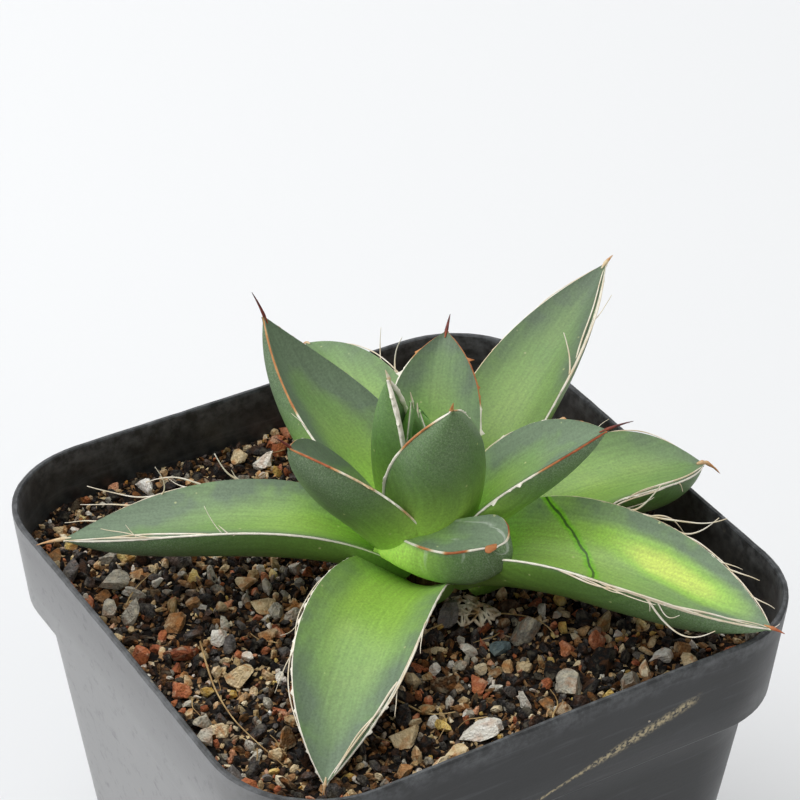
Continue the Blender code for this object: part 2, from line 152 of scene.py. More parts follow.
def only(obj):
    deselect_all()
    obj.select_set(True)
    bpy.context.view_layer.objects.active = obj
    return obj


def finish_piece(obj, material, replaces=None):
    """Gives a piece its material, its body and the nodes it stands for."""
    obj.data.materials.clear()
    obj.data.materials.append(material)
    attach(obj, BODY)
    if replaces:
        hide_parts(replaces)
    return obj


def apply_modifier(obj, kind, **settings):
    only(obj)
    modifier = obj.modifiers.new(kind.lower(), kind)
    for key, value in settings.items():
        setattr(modifier, key, value)
    bpy.ops.object.modifier_apply(modifier=modifier.name)


def set_numbers(mesh, name, values):
    """Stores one number for each vertex, for the materials to read."""
    layer = mesh.attributes.get(name) or mesh.attributes.new(name, "FLOAT", "POINT")
    layer.data.foreach_set("value", values)


def tube(name, rings, numbers=None, flat_map=None, caps=True, smooth_angle=60):
    """A closed skin through rings of as many points each, wrapped from a grid.

    numbers holds {name: [[a number for each point] for each ring]}, and flat_map the
    same with a pair of lengths for each point and one more that closes the ring.
    """
    around, along = len(rings[0]), len(rings)
    deselect_all()
    bpy.ops.mesh.primitive_grid_add(x_subdivisions=around, y_subdivisions=along - 1)
    obj = bpy.context.object
    obj.name = name
    mesh = obj.data
    mesh.name = name
    columns = around + 1
    places = []
    for ring in rings:
        for point in (*ring, ring[0]):
            places.extend(point)
    mesh.vertices.foreach_set("co", places)
    for key, rows in (numbers or {}).items():
        values = []
        for row in rows:
            values.extend((*row, row[0]))
        set_numbers(mesh, key, values)
    if flat_map:
        layer = mesh.uv_layers[0]
        layer.name = "leaf_map"
        for loop in mesh.loops:
            row, column = divmod(loop.vertex_index, columns)
            layer.data[loop.index].uv = flat_map[row][column]
    bpy.ops.object.mode_set(mode="EDIT")
    bpy.ops.mesh.select_all(action="SELECT")
    bpy.ops.mesh.remove_doubles(threshold=1e-7)
    if caps:
        bpy.ops.mesh.select_all(action="SELECT")
        bpy.ops.mesh.fill_holes(sides=0)
        bpy.ops.mesh.select_all(action="SELECT")
        bpy.ops.mesh.normals_make_consistent(inside=False)
    bpy.ops.object.mode_set(mode="OBJECT")
    only(obj)
    bpy.ops.object.shade_smooth_by_angle(angle=math.radians(smooth_angle))
    return obj


def join_pieces(name, objects):
    """Joins finished objects into one and names it."""
    deselect_all()
    for obj in objects:
        obj.select_set(True)
    bpy.context.view_layer.objects.active = objects[0]
    if len(objects) > 1:
        bpy.ops.object.join()
    joined = bpy.context.object
    joined.name = name
    joined.data.name = name
    return joined


# Helpers for materials


def add_node(tree, kind, settings=None, inputs=None, stops=None):
    """Adds one node with its settings, its values or links, and its colour stops."""
    node = tree.nodes.new("ShaderNode" + kind)
    for key, value in (settings or {}).items():
        setattr(node, key, value)
    for socket, value in (inputs or {}).items():
        if isinstance(value, bpy.types.NodeSocket):
            tree.links.new(value, node.inputs[socket])
        else:
            node.inputs[socket].default_value = value
    if stops:
        ramp = node.color_ramp
        while len(ramp.elements) > 1:
            ramp.elements.remove(ramp.elements[-1])
        ramp.elements[0].position, ramp.elements[0].color = stops[0]
        for position, colour in stops[1:]:
            ramp.elements.new(position).color = colour
    return node


def new_material(name, **values):
    """A material and its tree and shader, with fixed values set on the shader."""
    material = bpy.data.materials.new(name)
    material.use_nodes = True
    tree = material.node_tree
    shader = tree.nodes["Principled BSDF"]
    for socket, value in values.items():
        shader.inputs[socket.replace("_", " ").title().replace("Ior", "IOR")].default_value = value
    return material, tree, shader


COLOUR = {"data_type": "RGBA"}


# Leaves

# heading and rise are in degrees: the heading at the foot, its change along the leaf
# (sweep), the rise above level at the foot, the middle and the tip, and the roll about
# the centre line. foot is the distance from the plant's axis and the height above the
# rim. base is the width at the foot as a share of the widest one, which is at the
# share `belly` of the length; a higher taper keeps the tip fuller.
Leaf = namedtuple(
    "Leaf",
    "name length width thick gutter heading sweep rise roll foot base belly taper spine",
)
LEAVES = (
    Leaf("leaf_bud_right", 23, 7, 2.6, 0.38, 1, 0, (79, 106, 105), 2,
         (1.7, 1.5), 0.62, 0.45, 2.2, 1.5),
    Leaf("leaf_bud_left", 22, 8.5, 2.6, 0.40, 112, 0, (67, 89, 83), 0,
         (2.2, 0.8), 0.62, 0.45, 2.2, 1.5),
    Leaf("leaf_heart_left", 28, 8.5, 4.0, 0.44, 143, 1, (72, 84, 80), 0,
         (2.7, 0.0), 0.62, 0.44, 2.2, 1.5),
    Leaf("leaf_heart_front", 26.5, 15.5, 3.6, 0.57, -103, 3, (81, 84, 83), 19,
         (3.5, 0.7), 0.59, 0.48, 2.3, 1.5),
    Leaf("leaf_heart_back", 29.5, 13.5, 4.0, 0.31, 60, -12, (50, 48, 33), -5,
         (4.0, -0.9), 0.62, 0.49, 2.4, 3.0),
    Leaf("leaf_spoon_front", 11.5, 19, 4.0, 0.13, -108, 64, (-54, 20, 17), -23,
         (3.9, 5.3), 1.0, 0.61, 3.4, 1.2),
    Leaf("leaf_short_left", 28.5, 17.5, 3.9, 0.36, 168, 0, (68, 48, 54), 13,
         (4.2, -1.3), 0.63, 0.50, 2.5, 3.0),
    Leaf("leaf_short_right", 30.5, 14.5, 3.7, 0.37, -33, -3, (80, 42, 34), -1,
         (3.7, -1.0), 0.61, 0.48, 2.3, 4.0),
    Leaf("leaf_upright_left", 39.5, 16, 4.2, 0.38, 101, 10, (45, 31, 65), 9,
         (4.4, -1.8), 0.62, 0.42, 1.8, 4.0),
    Leaf("leaf_upright_right", 52, 14.5, 4.0, 0.30, 33, -10, (38, 22, 27), -6,
         (5.0, -2.8), 0.62, 0.42, 2.2, 2.0),
    Leaf("leaf_long_right", 48.5, 18.5, 4.5, 0.48, -52, -12, (43, -2, 9), -3,
         (4.6, -3.2), 0.65, 0.36, 2.7, 2.0),
    Leaf("leaf_long_left", 50, 15.5, 4.3, 0.34, 150, 2, (43, -1, -4), 7,
         (4.8, -3.7), 0.65, 0.42, 2.4, 4.0),
    Leaf("leaf_low_right", 38.5, 17.5, 4.3, 0.36, -12, 1, (35, 9, -3), -5,
         (5.0, -3.5), 0.62, 0.62, 2.8, 2.5),
    Leaf("leaf_low_back", 45, 16, 4.0, 0.30, 82, 1, (20, 17, -19), -3,
         (5.0, -4.0), 0.62, 0.45, 2.2, 3.0),
    Leaf("leaf_low_front", 46, 16.5, 4.0, 0.35, -149, 21, (50, -10, -22), -2,
         (4.5, -5.3), 0.61, 0.46, 2.2, 1.5),
)

# How each leaf has aged. bloom is how much grey wax it carries, green how fresh its
# blade is, tone how light it is, and edge the width of its horny margin. rust lists
# stretches of its margins that are brown: the side (1 is the left-hand one, looking out
# from the heart), from and to as shares of its length, and how brown. tooth is how
# flaky its margins are, point the kind of spine, and plump how far the lower face bulges
# out past the margins.
Age = namedtuple("Age", "bloom green tone edge rust tooth point plump")
AGES = {
    "leaf_bud_right": Age(0.05, 1.0, 2.3, 0.2, (), 0.1, "bud", 0.2),
    "leaf_bud_left": Age(0.1, 0.9, 2.1, 0.22, (), 0.1, "bud", 0.2),
    "leaf_heart_left": Age(0.25, 0.8, 1.35, 1.1, (), 1.8, "straw", 0.3),
    "leaf_heart_front": Age(
        0.6, 0.55, 1.08, 0.5, ((-1, 0.78, 0.93, 0.6), (1, 0.95, 1.0, 0.5)), 0.9,
        "orange", 0.5),
    "leaf_heart_back": Age(
        0.45, 0.55, 0.95, 0.4, ((-1, 0.64, 1.0, 0.62), (1, 0.84, 1.0, 0.62)), 1.4, "red",
        0.2),
    "leaf_spoon_front": Age(
        0.75, 0.4, 1.3, 0.38, ((-1, 0.34, 0.46, 0.62), (-1, 0.58, 0.78, 0.72),
                               (1, 0.84, 0.93, 0.7)), 0.2, "blob", 0.25),
    "leaf_short_left": Age(
        0.8, 0.55, 0.95, 0.38, ((1, 0.84, 1.0, 0.72), (1, 0.66, 0.8, 0.35),
                                (1, 0.40, 0.46, 0.55), (-1, 0.9, 1.0, 0.5)), 1.7,
        "red", 0.3),
    "leaf_short_right": Age(
        0.9, 0.5, 1.26, 0.36, ((1, 0.78, 1.0, 0.62), (-1, 0.7, 1.0, 0.7)), 1.4, "red",
        0.3),
    "leaf_upright_left": Age(
        0.85, 0.6, 1.05, 0.38, ((-1, 0.62, 1.0, 0.66), (1, 0.62, 1.0, 0.56)), 0.2, "red",
        0.65),
    "leaf_upright_right": Age(
        0.4, 0.7, 0.85, 0.42, ((1, 0.4, 0.62, 0.25), (1, 0.95, 1.0, 0.3)), 0.3, "pale",
        0.3),
    "leaf_long_right": Age(
        0.75, 0.8, 1.24, 0.36, ((1, 0.25, 0.7, 0.2), (-1, 0.5, 0.95, 0.15),
                                (1, 0.97, 1.0, 0.6)), 0.35, "brown", 0.3),
    "leaf_long_left": Age(
        0.95, 0.75, 1.08, 0.36, ((-1, 0.97, 1.0, 0.4),), 0.2, "pale", 0.3),
    "leaf_low_right": Age(0.2, 0.95, 1.02, 0.34, ((1, 0.66, 0.86, 0.4),), 0.4, "dry", 0.3),
    "leaf_low_back": Age(0.25, 0.9, 1.02, 0.34, ((1, 0.8, 1.0, 0.3),), 0.3, "nub", 0.3),
    "leaf_low_front": Age(
        0.55, 0.85, 1.1, 0.42, ((1, 0.5, 0.62, 0.15),), 0.6, "nub", 0.3),
}

PLANT_AXIS = Vector((5 * MM, -3 * MM, 0))
EDGE_THICK = 0.5 * MM
SPINE_RADIUS = 0.24 * MM
CENTRE_STEPS = 60
LEAF_STATIONS = 84
UPPER_STEPS = 26
LOWER_STEPS = 20
MAP_UNIT = 10 * MM           # one unit of a leaf's flat map


def width_share(leaf, along):
    if along < leaf.belly:
        rise = math.sin(along / leaf.belly * math.pi / 2)
        return leaf.base + (1 - leaf.base) * rise
    return 1 - ((along - leaf.belly) / (1 - leaf.belly)) ** leaf.taper


def leaf_directions(leaf, along):
    """Directions along, across and up from the leaf at a share of its length."""
    foot, middle, tip = (math.radians(angle) for angle in leaf.rise)
    rise = (
        foot * (1 - along) * (1 - 2 * along)
        + middle * 4 * along * (1 - along)
        + tip * along * (2 * along - 1)
    )
    heading = math.radians(leaf.heading + leaf.sweep * along)
    forward = Vector((
        math.cos(rise) * math.cos(heading),
        math.cos(rise) * math.sin(heading),
        math.sin(rise),
    ))
    level = Vector((-math.sin(heading), math.cos(heading), 0))
    upper = forward.cross(level)
    roll = math.radians(leaf.roll)
    across = level * math.cos(roll) + upper * math.sin(roll)
    return forward, across, upper * math.cos(roll) - level * math.sin(roll)


# The spoon-shaped leaf clasps the front of the stem, so it is drawn through sections of
# its own: millimetres to its near margin, far margin and keel, from the foot to the tip.
SPOON_SECTIONS = (
    ((-4.2, -2.4, 85.0), (-1.8, -2.4, 85.6), (-4.2, -2.2, 82.6)),
    ((-3.9, -5.7, 88.2), (-1.4, -5.4, 88.0), (-4.2, -5.0, 83.4)),
    ((-2.9, -9.4, 88.6), (0.7, -8.1, 89.5), (-3.2, -8.0, 83.6)),
    ((-1.6, -12.4, 88.8), (3.1, -10.4, 90.7), (-1.0, -11.4, 83.4)),
    ((0.0, -14.6, 89.0), (5.6, -12.6, 91.7), (1.6, -14.2, 83.5)),
    ((1.8, -16.2, 89.6), (7.9, -14.7, 92.4), (4.4, -16.9, 84.3)),
    ((3.4, -17.3, 90.2), (8.4, -17.0, 92.0), (6.7, -18.7, 86.3)),
    ((4.4, -17.9, 90.6), (7.4, -18.3, 91.0), (6.9, -19.3, 88.6)),
    ((5.0, -18.2, 90.7), (5.1, -18.3, 90.7), (5.6, -18.8, 90.2)),
)
SPOON_STEPS = (0.0, 0.14, 0.3, 0.45, 0.6, 0.75, 0.88, 0.95, 1.0)


def spoon_section(along):
    """Near margin, far margin and keel of the spoon-shaped leaf, in metres."""
    along = min(max(along, 0.0), 1.0)
    last = len(SPOON_STEPS) - 1
    low = max(i for i in range(last) if SPOON_STEPS[i] <= along)
    step = SPOON_STEPS[low + 1] - SPOON_STEPS[low]
    share = (along - SPOON_STEPS[low]) / step
    lines = []
    for line in range(3):
        def at(index):
            return Vector(SPOON_SECTIONS[index][line])

        def slope(index):
            before, after = max(index - 1, 0), min(index + 1, last)
            return (at(after) - at(before)) / (SPOON_STEPS[after] - SPOON_STEPS[before])

        first, second = at(low), at(low + 1)
        a, b = slope(low) * step, slope(low + 1) * step
        lines.append((
            first * (1 + 2 * share) * (1 - share) ** 2 + a * share * (1 - share) ** 2
            + second * share ** 2 * (3 - 2 * share) - b * share ** 2 * (1 - share)) * MM)
    return lines


def spoon_station(along):
    """One station of the spoon-shaped leaf, in the form that leaf_station gives."""
    near, far, keel = spoon_section(along)
    centre = (near + far) / 2
    before, after = spoon_section(along - 0.02), spoon_section(along + 0.02)
    forward = ((after[0] + after[1]) - (before[0] + before[1])).normalized()
    across = far - near
    half = max(across.length / 2, SPINE_RADIUS)
    across.normalize()
    up = centre - keel
    thick = max(up.length, 2 * SPINE_RADIUS)
    up = up.normalized() if up.length > 0.01 * MM else forward.cross(across)
    return centre, forward, across, up, half, thick


_centres = {}


def centre_line(leaf):
    """Points of the centre line, evenly spaced from the foot to the blade's end."""
    if leaf.name not in _centres:
        heading = math.radians(leaf.heading)
        distance, height = leaf.foot
        place = PLANT_AXIS + Vector((
            distance * MM * math.cos(heading),
            distance * MM * math.sin(heading),
            bpy.context.scene.agave_sizes.pot_height + height * MM,
        ))
        stride = leaf.length * MM / CENTRE_STEPS
        points = [place.copy()]
        for step in range(CENTRE_STEPS):
            middle = (step + 0.5) / CENTRE_STEPS
            place += leaf_directions(leaf, middle)[0] * stride
            points.append(place.copy())
        _centres[leaf.name] = points
    return _centres[leaf.name]


def leaf_station(leaf, along):
    """Centre, directions, half width and thickness at a share of the length."""
    if leaf.name == "leaf_spoon_front":
        return spoon_station(along)
    points = centre_line(leaf)
    index = min(max(along, 0.0), 1.0) * CENTRE_STEPS
    low = min(int(index), CENTRE_STEPS - 1)
    centre = points[low].lerp(points[low + 1], index - low)
    share = width_share(leaf, along)
    half = max(leaf.width * MM / 2 * share, SPINE_RADIUS)
    thick = max(leaf.thick * MM * share ** 0.8, 2 * SPINE_RADIUS)
    return (centre, *leaf_directions(leaf, along), half, thick)


def leaf_point(leaf, along, side, lower=False):
    """A point of the upper or lower face. side runs from -1 to 1 across the leaf."""
    centre, _, across, up, half, thick = leaf_station(leaf, along)
    height = leaf.gutter * half * side ** 2 + EDGE_THICK / 2
    # the blade is never quite even: it swells and dips a little along its length
    wave = noise.noise(Vector((along * leaf.length / 9, side * 0.9, leaf.heading)))
    height += 0.22 * MM * wave * (1 - side ** 2) * min(1.0, half / (3 * MM))
    if lower:
        swell = (1 - side ** 2) ** 0.62
        height -= EDGE_THICK + (thick - EDGE_THICK) * swell
        side *= 1 + AGES[leaf.name].plump * (1 - side ** 2)
    return centre + across * side * half + up * height + drop_at(leaf, along, side)


def margin_point(leaf, along, side):
    centre, _, across, up, half, _ = leaf_station(leaf, along)
    place = centre + across * side * half + up * leaf.gutter * half
    return place + drop_at(leaf, along, side)


def face_sides():
    """Shares across the leaf round a section: over the upper face, back below."""
    upper = [-math.cos(math.pi * step / UPPER_STEPS) for step in range(UPPER_STEPS)]
    lower = [math.cos(math.pi * step / LOWER_STEPS) for step in range(LOWER_STEPS)]
    return upper, lower


def make_leaf_skin(leaf):
    upper, lower = face_sides()
    rings, flat = [], []
    numbers = {key: [] for key in ("along", "edge", "upper", "across")}
    for station in range(LEAF_STATIONS + 1):
        along = 1 - (1 - station / LEAF_STATIONS) ** 1.25
        half = leaf_station(leaf, along)[4]
        ring = [leaf_point(leaf, along, side) for side in upper]
        ring += [leaf_point(leaf, along, side, lower=True) for side in lower]
        sides = upper + lower
        rings.append(ring)
        numbers["along"].append([along] * len(ring))
        numbers["across"].append(sides)
        numbers["edge"].append([(1 - abs(side)) * half / MM for side in sides])
        numbers["upper"].append([1.0] * len(upper) + [0.0] * len(lower))
        length = along * leaf.length * MM / MAP_UNIT
        row = [(length, side * half / MAP_UNIT) for side in upper]
        row += [(length, (2 - side) * half / MAP_UNIT) for side in lower]
        row.append((length, 3 * half / MAP_UNIT))
        flat.append(row)
    return tube(leaf.name + "_skin", rings, numbers, flat, smooth_angle=50)


def leaf_material(leaf, age, colours):
    """Agave leaf: fleshy blade under a waxy cuticle. The wax bloom is a matt grey film,
    thickest along the margins and at the tip, and rubbed off down the middle, where
    the green shows clean and a little glossier. Fine fibres run its whole length."""
    material, tree, shader = new_material("agave_leaf_" + leaf.name[5:])
    shader.inputs["Specular IOR Level"].default_value = 0.61
    along = add_node(tree, "Attribute", {"attribute_name": "along"}).outputs["Fac"]
    edge = add_node(tree, "Attribute", {"attribute_name": "edge"}).outputs["Fac"]
    upper = add_node(tree, "Attribute", {"attribute_name": "upper"}).outputs["Fac"]
    flat = add_node(tree, "UVMap", {"uv_map": "leaf_map"}).outputs["UV"]
    place = add_node(tree, "TexCoord").outputs["Object"]

    # 6 mm clouds decide where the wax has been rubbed off
    clouds = add_node(tree, "TexNoise", {"noise_dimensions": "3D"}, {
        "Vector": place, "Scale": 1 / (6 * MM), "Detail": 3.0, "Roughness": 0.55,
    }).outputs["Fac"]
    # fibres 0.5 mm apart and many times longer
    stretched = add_node(tree, "Mapping", None, {
        "Vector": flat, "Scale": (1.2, 20.0, 1.0),
    }).outputs["Vector"]
    fibres = add_node(tree, "TexNoise", {"noise_dimensions": "2D"}, {
        "Vector": stretched, "Scale": 1.0, "Detail": 2.0, "Roughness": 0.5,
    }).outputs["Fac"]
    # cells of the cuticle are too small to show, so they are drawn 0.35 mm wide
    cells = add_node(tree, "TexNoise", {"noise_dimensions": "3D"}, {
        "Vector": place, "Scale": 1 / (0.35 * MM), "Detail": 2.0, "Roughness": 0.6,
    }).outputs["Fac"]

    foot = add_node(tree, "MapRange", {"interpolation_type": "SMOOTHSTEP"}, {
        "Value": along, "From Min": 0.15, "From Max": 0.5 + 0.4 * age.green,
    }).outputs["Result"]
    green = add_node(tree, "Mix", COLOUR, {
        0: foot, 6: colours.leaf_foot, 7: colours.leaf_blade,
    }).outputs[2]
    # the green itself comes and goes in 6 mm clouds, yellower down the middle
    middle = add_node(tree, "MapRange", {"interpolation_type": "SMOOTHSTEP"}, {
        "Value": edge, "From Min": 1.5, "From Max": 6.5, "To Max": 0.7,
    }).outputs["Result"]
    patch = add_node(tree, "MapRange", None, {
        "Value": clouds, "From Min": 0.35, "From Max": 0.7,
    }).outputs["Result"]
    patch = add_node(tree, "Math", {"operation": "MULTIPLY"}, {0: patch, 1: middle}).outputs[0]
    green = add_node(tree, "Mix", COLOUR, {
        0: patch, 6: green, 7: linear("#8eb04c"),
    }).outputs[2]

    # bloom: near the margins, at the tip, and a little everywhere
    rim = add_node(tree, "MapRange", {"interpolation_type": "SMOOTHSTEP"}, {
        "Value": edge, "From Min": 3.4 + 2.8 * age.bloom, "From Max": 0.2, "To Max": 1.0,
    }).outputs["Result"]
    end = add_node(tree, "MapRange", {"interpolation_type": "SMOOTHSTEP"}, {
        "Value": along, "From Min": 0.55 - 0.3 * age.bloom, "From Max": 1.0, "To Max": 0.9,
    }).outputs["Result"]
    bloom = add_node(tree, "Math", {"operation": "ADD"}, {0: rim, 1: end}).outputs[0]
    thin = add_node(tree, "MapRange", None, {
        "Value": clouds, "From Min": 0.3, "From Max": 0.7, "To Min": 0.45, "To Max": 1.4,
    }).outputs["Result"]
    bloom = add_node(tree, "Math", {"operation": "MULTIPLY"}, {0: bloom, 1: thin}).outputs[0]
    bloom = add_node(tree, "Math", {"operation": "MULTIPLY_ADD", "use_clamp": True}, {
        0: bloom, 1: 0.3 + 0.7 * age.bloom, 2: 0.16 * age.bloom ** 2,
    }).outputs[0]
    above = add_node(tree, "Mix", COLOUR, {
        0: bloom, 6: green, 7: colours.leaf_bloom,
    }).outputs[2]
    # the lower face is deeper green, clean and yellow where the leaves clasp, and
    # towards the tip its wax breaks up into fine pale flecks over a dark ground
    # painted shade: the outer leaves get a dark clasp green, because their lower faces lie low in
    # shade; the heart leaves keep the bright yellow-green
    outer = leaf.name.startswith(("leaf_long", "leaf_low"))
    foot_green = linear("#5c7f31" if outer else "#a3cc55")
    clasp = add_node(tree, "MapRange", {"interpolation_type": "SMOOTHSTEP"}, {
        "Value": along, "From Min": 0.15, "From Max": 0.72,
    }).outputs["Result"]
    back = add_node(tree, "Mix", COLOUR, {
        0: clasp, 6: foot_green, 7: colours.leaf_back,
    }).outputs[2]
    waxed = add_node(tree, "MapRange", {"interpolation_type": "SMOOTHSTEP"}, {
        "Value": along, "From Min": 0.3, "From Max": 0.95, "To Max": 0.9 * age.bloom,
    }).outputs["Result"]
    back = add_node(tree, "Mix", COLOUR, {0: waxed, 6: back, 7: linear("#4a5e42")}).outputs[2]
    dots = add_node(tree, "TexNoise", {"noise_dimensions": "3D"}, {
        "Vector": place, "Scale": 1 / (0.2 * MM), "Detail": 2.0, "Roughness": 0.7,
    }).outputs["Fac"]
    fleck = add_node(tree, "MapRange", None, {
        "Value": dots, "From Min": 0.42, "From Max": 0.75, "To Max": 0.55,
    }).outputs["Result"]
    fleck = add_node(tree, "Math", {"operation": "MULTIPLY"}, {0: fleck, 1: waxed}).outputs[0]
    back = add_node(tree, "Mix", COLOUR, {0: fleck, 6: back, 7: linear("#a4b199")}).outputs[2]
    colour = add_node(tree, "Mix", COLOUR, {0: upper, 6: back, 7: above}).outputs[2]

    # pinprick scars, a few to each square centimetre, dried pale
    scars = add_node(tree, "TexVoronoi", {"feature": "F1"}, {
        "Vector": place, "Scale": 1 / (3.4 * MM), "Randomness": 1.0}).outputs["Distance"]
    scar = add_node(tree, "MapRange", None, {
        "Value": scars, "From Min": 0.07, "From Max": 0.035, "To Max": 0.55,
    }).outputs["Result"]
    colour = add_node(tree, "Mix", COLOUR, {0: scar, 6: colour, 7: linear("#c3c68c")}).outputs[2]

    if leaf.name == "leaf_long_right":
        colour, bloom = add_sunburn(tree, colour, bloom, flat, clouds)
    if leaf.name == "leaf_spoon_front":
        colour = add_wax_smears(tree, colour, flat)

    shade = add_node(tree, "MapRange", None, {
        "Value": fibres, "From Min": 0.25, "From Max": 0.75, "To Min": 0.9, "To Max": 1.1,
    }).outputs["Result"]
    speck = add_node(tree, "MapRange", None, {
        "Value": cells, "From Min": 0.25, "From Max": 0.75, "To Min": 0.8, "To Max": 1.2,
    }).outputs["Result"]
    shade = add_node(tree, "Math", {"operation": "MULTIPLY"}, {0: shade, 1: speck}).outputs[0]
    # painted light: the foot is brightened up to 1.45 times, standing for the light its pale flesh
    # lets through and lifting the shade that falls between the leaves
    painted_foot_light = add_node(tree, "MapRange", {"interpolation_type": "SMOOTHSTEP"}, {
        "Value": along, "From Min": 0.05, "From Max": 0.45, "To Min": 1.45 * age.tone,
        "To Max": age.tone}).outputs["Result"]
    shade = add_node(tree, "Math", {"operation": "MULTIPLY"}, {0: shade, 1: painted_foot_light}).outputs[0]
    colour = add_node(tree, "HueSaturation", None, {
        "Value": shade, "Saturation": 1.0, "Color": colour,
    }).outputs["Color"]
    tree.links.new(colour, shader.inputs["Base Color"])
    rough = add_node(tree, "MapRange", None, {
        "Value": bloom, "To Min": 0.36, "To Max": 0.58,
    }).outputs["Result"]
    tree.links.new(rough, shader.inputs["Roughness"])
    relief = add_node(tree, "Math", {"operation": "MULTIPLY_ADD"}, {
        0: fibres, 1: 0.6, 2: cells,
    }).outputs[0]
    bump = add_node(tree, "Bump", None, {
        "Strength": 0.35, "Distance": 0.06 * MM, "Height": relief,
    }).outputs["Normal"]
    tree.links.new(bump, shader.inputs["Normal"])
    return material


def add_sunburn(tree, colour, bloom, flat, clouds):
    """The pale yellow scar of sunburn down the blade, and the split across it."""
    axes = add_node(tree, "SeparateXYZ", None, {0: flat})
    length, width = axes.outputs["X"], axes.outputs["Y"]
    # the scar is an ellipse about 21 mm long and 5 mm wide, its middle 31 mm along
    far = add_node(tree, "Math", {"operation": "MULTIPLY_ADD"}, {
        0: length, 1: 1.0, 2: -3.12}).outputs[0]
    lean = add_node(tree, "Math", {"operation": "MULTIPLY_ADD"}, {
        0: far, 1: 0.16, 2: -0.34}).outputs[0]
    side = add_node(tree, "Math", {"operation": "ADD"}, {0: width, 1: lean}).outputs[0]
    ripple = add_node(tree, "Math", {"operation": "MULTIPLY_ADD"}, {
        0: clouds, 1: 0.8, 2: -0.4}).outputs[0]
    far = add_node(tree, "Math", {"operation": "DIVIDE"}, {0: far, 1: 1.06}).outputs[0]
    side = add_node(tree, "Math", {"operation": "DIVIDE"}, {0: side, 1: 0.23}).outputs[0]
    far2 = add_node(tree, "Math", {"operation": "MULTIPLY"}, {0: far, 1: far}).outputs[0]
    side2 = add_node(tree, "Math", {"operation": "MULTIPLY_ADD"}, {
        0: side, 1: side, 2: far2}).outputs[0]
    spread = add_node(tree, "Math", {"operation": "ADD"}, {0: side2, 1: ripple}).outputs[0]
    green = add_node(tree, "MapRange", {"interpolation_type": "SMOOTHSTEP"}, {
        "Value": spread, "From Min": 2.1, "From Max": 0.6, "To Max": 0.85}).outputs["Result"]
    yellow = add_node(tree, "MapRange", {"interpolation_type": "SMOOTHSTEP"}, {
        "Value": spread, "From Min": 0.95, "From Max": -0.1, "To Max": 0.85}).outputs["Result"]
    colour = add_node(tree, "Mix", COLOUR, {0: green, 6: colour, 7: linear("#88b534")}).outputs[2]
    colour = add_node(tree, "Mix", COLOUR, {0: yellow, 6: colour, 7: linear("#bccb50")}).outputs[2]
    clean = add_node(tree, "Math", {"operation": "SUBTRACT", "use_clamp": True}, {
        0: bloom, 1: green}).outputs[0]
    # the split runs slantwise from one margin to the other, about 0.5 mm wide
    wander = add_node(tree, "TexNoise", {"noise_dimensions": "2D"}, {
        "Vector": flat, "Scale": 3.0, "Detail": 3.0}).outputs["Fac"]
    line = add_node(tree, "Math", {"operation": "MULTIPLY_ADD"}, {
        0: width, 1: 0.40, 2: 0.74}).outputs[0]
    line = add_node(tree, "Math", {"operation": "MULTIPLY_ADD"}, {
        0: line, 1: width, 2: -2.11}).outputs[0]
    line = add_node(tree, "Math", {"operation": "ADD"}, {0: line, 1: length}).outputs[0]
    line = add_node(tree, "Math", {"operation": "MULTIPLY_ADD"}, {
        0: wander, 1: 0.13, 2: line}).outputs[0]
    line = add_node(tree, "Math", {"operation": "ABSOLUTE"}, {0: line}).outputs[0]
    fresh = add_node(tree, "MapRange", {"interpolation_type": "SMOOTHSTEP"}, {
        "Value": line, "From Min": 0.13, "From Max": 0.03}).outputs["Result"]
    dark = add_node(tree, "MapRange", {"interpolation_type": "SMOOTHSTEP"}, {
        "Value": line, "From Min": 0.034, "From Max": 0.012}).outputs["Result"]
    colour = add_node(tree, "Mix", COLOUR, {0: fresh, 6: colour, 7: linear("#6fae1c")}).outputs[2]
    colour = add_node(tree, "Mix", COLOUR, {0: dark, 6: colour, 7: linear("#34580f")}).outputs[2]
    return colour, clean


def add_wax_smears(tree, colour, flat):
    """Thumbed wax: a few pale drags over the bloom of the spoon-shaped leaf."""
    drawn = add_node(tree, "Mapping", None, {"Vector": flat, "Scale": (2.2, 7.0, 1.0)}).outputs[0]
    drag = add_node(tree, "TexNoise", {"noise_dimensions": "2D"}, {
        "Vector": drawn, "Scale": 1.0, "Detail": 2.0, "Distortion": 0.6}).outputs["Fac"]
    pale = add_node(tree, "MapRange", {"interpolation_type": "SMOOTHSTEP"}, {
        "Value": drag, "From Min": 0.62, "From Max": 0.76, "To Max": 0.4}).outputs["Result"]
    return add_node(tree, "Mix", COLOUR, {0: pale, 6: colour, 7: linear("#b9c0b4")}).outputs[2]


# leaf_low_right lies under leaf_long_right: near it, its surface is pressed down
TUCKED = {"leaf_low_right": "leaf_long_right"}
TUCK_GAP = 0.35 * MM
TUCK_SPREAD = 10             # how many times the dent is blurred into the blade
_drops = {}


def dent_under(leaf):
    """Rows of drops, station by station and side by side, that clear the leaf above."""
    above = bpy.data.objects[TUCKED[leaf.name] + "_skin"]
    tree = BVHTree.FromPolygons(
        [vertex.co.copy() for vertex in above.data.vertices],
        [tuple(face.vertices) for face in above.data.polygons])
    rows = []
    for station in range(LEAF_STATIONS + 1):
        row = []
        for step in range(UPPER_STEPS + 1):
            side = -1 + 2 * step / UPPER_STEPS
            point = leaf_point(leaf, station / LEAF_STATIONS, side)
            hit = tree.ray_cast(Vector((point.x, point.y, 0)), Vector((0, 0, 1)))[0]
            drop = 0.0 if hit is None else max(0.0, point.z - hit.z + TUCK_GAP)
            row.append(drop)
        rows.append(row)
    for _ in range(TUCK_SPREAD):
        blurred = []
        for i, row in enumerate(rows):
            fresh = []
            for j, drop in enumerate(row):
                near = [rows[k][m] for k in (i - 1, i, i + 1) for m in (j - 1, j, j + 1)
                        if 0 <= k <= LEAF_STATIONS and 0 <= m <= UPPER_STEPS]
                fresh.append(max(drop, sum(near) / len(near)))
            blurred.append(fresh)
        rows = blurred
    return rows


